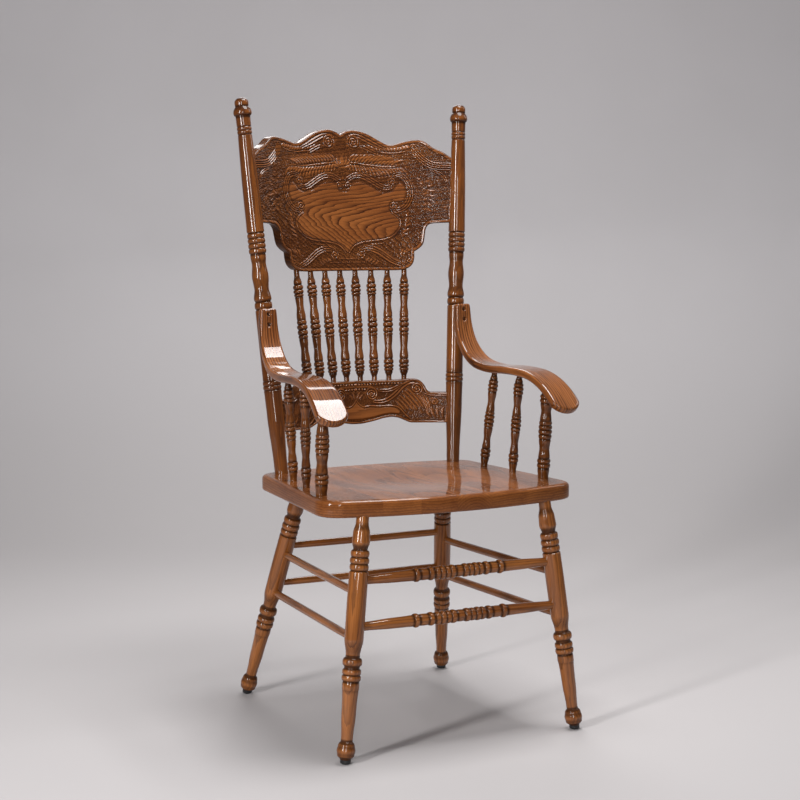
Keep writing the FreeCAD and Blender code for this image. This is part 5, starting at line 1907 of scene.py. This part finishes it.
@dataclass
class Studio:
    """A pale grey floor that rises into a wall, soft lamps and the camera.

    Wide lamps hang overhead and behind the chair, tall narrow ones stand in front and at the
    left, where they draw long lines of light on the turnings, and a weak one hangs at the right.
    """

    camera_spot: Triple = (-1.4612, -2.9235, 0.9385)
    camera_tilt: float = 0.1034
    camera_turn: float = -0.4646
    lens: float = 78.01
    half_width: float = 9.0
    near_end: float = -7.0
    bend_start: float = 1.55
    bend_radius: float = 1.9
    wall_top: float = 8.0
    world_colour: Triple = (0.93, 0.96, 1.0)
    world_strength: float = 0.12
    lamps: tuple[Lamp, ...] = (
        Lamp("overhead", (0.3, -0.2, 2.6), (1.0, 1.0), 60.0, target=(0.2, -0.2, 0.0)),
        Lamp("behind", (0.7, 1.75, 2.3), (1.2, 1.0), 25.0),
        Lamp("front_left", (-2.6, -1.2, 1.45), (0.22, 1.9), 72.0),
        Lamp("right", (2.3, -0.1, 2.2), (0.7, 1.2), 8.0),
        Lamp("front", (-1.75, -3.4, 1.35), (0.3, 1.8), 38.0),
    )

    def floor(self) -> None:
        """A sheet that lies flat under the chair, bends in a quarter circle and rises behind it."""
        bend, start = self.bend_radius, self.bend_start
        angle = np.linspace(0, math.pi / 2, 24)[1:]
        wall = np.linspace(bend + 0.3, self.wall_top, 8)
        flat = np.linspace(self.near_end, start, 24)
        far = np.concatenate([flat, start + bend * np.sin(angle), np.full(len(wall), start + bend)])
        up = np.concatenate([np.zeros(len(flat)), bend - bend * np.cos(angle), wall])
        x, y = np.meshgrid(np.linspace(-self.half_width, self.half_width, 40), far)
        z = np.broadcast_to(up[:, None], x.shape)
        cosine, sine = math.cos(self.camera_turn), math.sin(self.camera_turn)
        points = np.stack([x * cosine - y * sine, x * sine + y * cosine, z], axis=-1)
        index = np.arange(x.size).reshape(x.shape)
        sides = [index[:-1, :-1], index[:-1, 1:], index[1:, 1:], index[1:, :-1]]
        quads = np.stack(sides, axis=-1).reshape(-1, 4)
        mesh = bpy.data.meshes.new("studio_floor")
        mesh.from_pydata(points.reshape(-1, 3).tolist(), [], quads.tolist())
        mesh.polygons.foreach_set("use_smooth", np.ones(len(quads), dtype=bool))
        sheet = bpy.data.objects.new("studio_floor", mesh)
        bpy.context.scene.collection.objects.link(sheet)
        mesh.materials.append(self.paint())

    @staticmethod
    def paint() -> bpy.types.Material:
        """Matt grey paint, darker on the floor and lighter up the wall: painted light and shade."""
        mix = Recipe("studio_paint")
        spot = mix.node("ShaderNodeTexCoord", output="Object")
        cloud = mix.noise(spot, (1.4, 1.4, 1.4), 4.0)
        up = mix.between(mix.coordinate(spot, "Z"), -0.25, 0.95)
        # Painted light and shade: darker low down and lighter up the wall, to stand in for the lamps' light.
        colour = mix.mixed(up, (0.395, 0.374, 0.374), (0.74, 0.707, 0.717))
        colour = mix.mixed(mix.between(cloud, 0.3, 0.8) * 0.14, colour, (0.50, 0.47, 0.46))
        return mix.surface({"Base Color": colour, "Roughness": 0.8, "Specular IOR Level": 0.2})

    def light(self) -> None:
        """Hangs the lamps and sets the world's faint light."""
        for lamp in self.lamps:
            lamp.hang()
        world = bpy.data.worlds.new("studio_air")
        world.use_nodes = True
        background = world.node_tree.nodes["Background"]
        background.inputs["Color"].default_value = (*self.world_colour, 1.0)
        background.inputs["Strength"].default_value = self.world_strength
        bpy.context.scene.world = world

    def camera(self) -> None:
        """The camera at the photograph's viewing angle."""
        data = bpy.data.cameras.new("camera")
        data.lens = self.lens
        data.sensor_width = 36.0
        data.clip_end = 60.0
        camera = bpy.data.objects.new("camera", data)
        camera.location = self.camera_spot
        camera.rotation_euler = (math.pi / 2 - self.camera_tilt, 0.0, self.camera_turn)
        bpy.context.scene.collection.objects.link(camera)
        bpy.context.scene.camera = camera

    def build(self) -> None:
        """Sets up the studio."""
        self.floor()
        self.light()
        self.camera()
        bpy.context.scene.view_settings.view_transform = "Standard"


# The whole chair


ROUND_WOOD = {"ring_width": 0.0044, "pith": (0.03, 0.05), "ring_taper": 0.02, "lacquer_index": 1.5}


class Oak(Enum):
    """The chair's oak, by the way each piece was cut out of the log and stained. The upright oak is a darker
    copy that also holds painted shade.
    """

    TURNED = StainedOak(
        "oak_turned",
        pale=(0.315, 0.108, 0.024),
        middle=(0.175, 0.052, 0.010),
        figure=0.7,
        **ROUND_WOOD,
    )
    # A darker copy of the turned oak for the posts and spindles: partly a deeper stain, partly painted shade
    # for the lesser light on them.
    UPRIGHT = StainedOak(
        "oak_upright",
        pale=(0.205, 0.064, 0.011),
        middle=(0.096, 0.026, 0.004),
        dark=(0.022, 0.006, 0.002),
        figure=0.6,
        **ROUND_WOOD,
    )
    BENT = StainedOak(
        "oak_bent",
        pale=(0.310, 0.108, 0.030),
        middle=(0.140, 0.042, 0.010),
        ring_width=0.0050,
        pith=(-0.055, 0.035),
        ring_taper=0.03,
        wander=0.018,
        ripple=0.005,
        figure=1.7,
    )
    CARVED = StainedOak(
        "oak_carved",
        ring_width=0.0070,
        pith=(-0.050, 0.034),
        ring_taper=-0.36,
        lean=-0.24,
        wander=0.010,
        ripple=0.012,
        figure=1.25,
        grit=1.6,
    )
    SAWN = StainedOak("oak_sawn", pith=(-0.40, 0.06), ring_taper=0.05, figure=0.7, grit=1.6)
    BOARDS = StainedOak(
        "oak_boards",
        ring_width=0.0046,
        board_width=0.070,
        pith=(0.035, 0.006),
        ring_taper=0.02,
        wander=0.012,
        figure=0.75,
        lacquer=0.75,
    )


def main() -> None:
    """Builds and dresses the armchair in order."""
    logging.basicConfig(level=logging.INFO, format="%(name)s: %(message)s")
    oak = {cut: cut.value.material() for cut in Oak}
    plastic = BlackPlastic("black_plastic").material()
    steel = DarkSteel("dark_steel").material()
    back = Back(oak[Oak.UPRIGHT])
    parts = [
        Legs(oak[Oak.TURNED], plastic),
        back,
        Arms(oak[Oak.BENT], oak[Oak.UPRIGHT], steel, back),
        crest_board(oak[Oak.CARVED], back),
        rail_board(oak[Oak.SAWN], back),
        Seat(oak[Oak.BOARDS]),
    ]
    for part in parts:
        for piece, slot in part.build():
            fit_to_frame(piece)
    Studio().build()


if __name__ == "__main__":
    main()
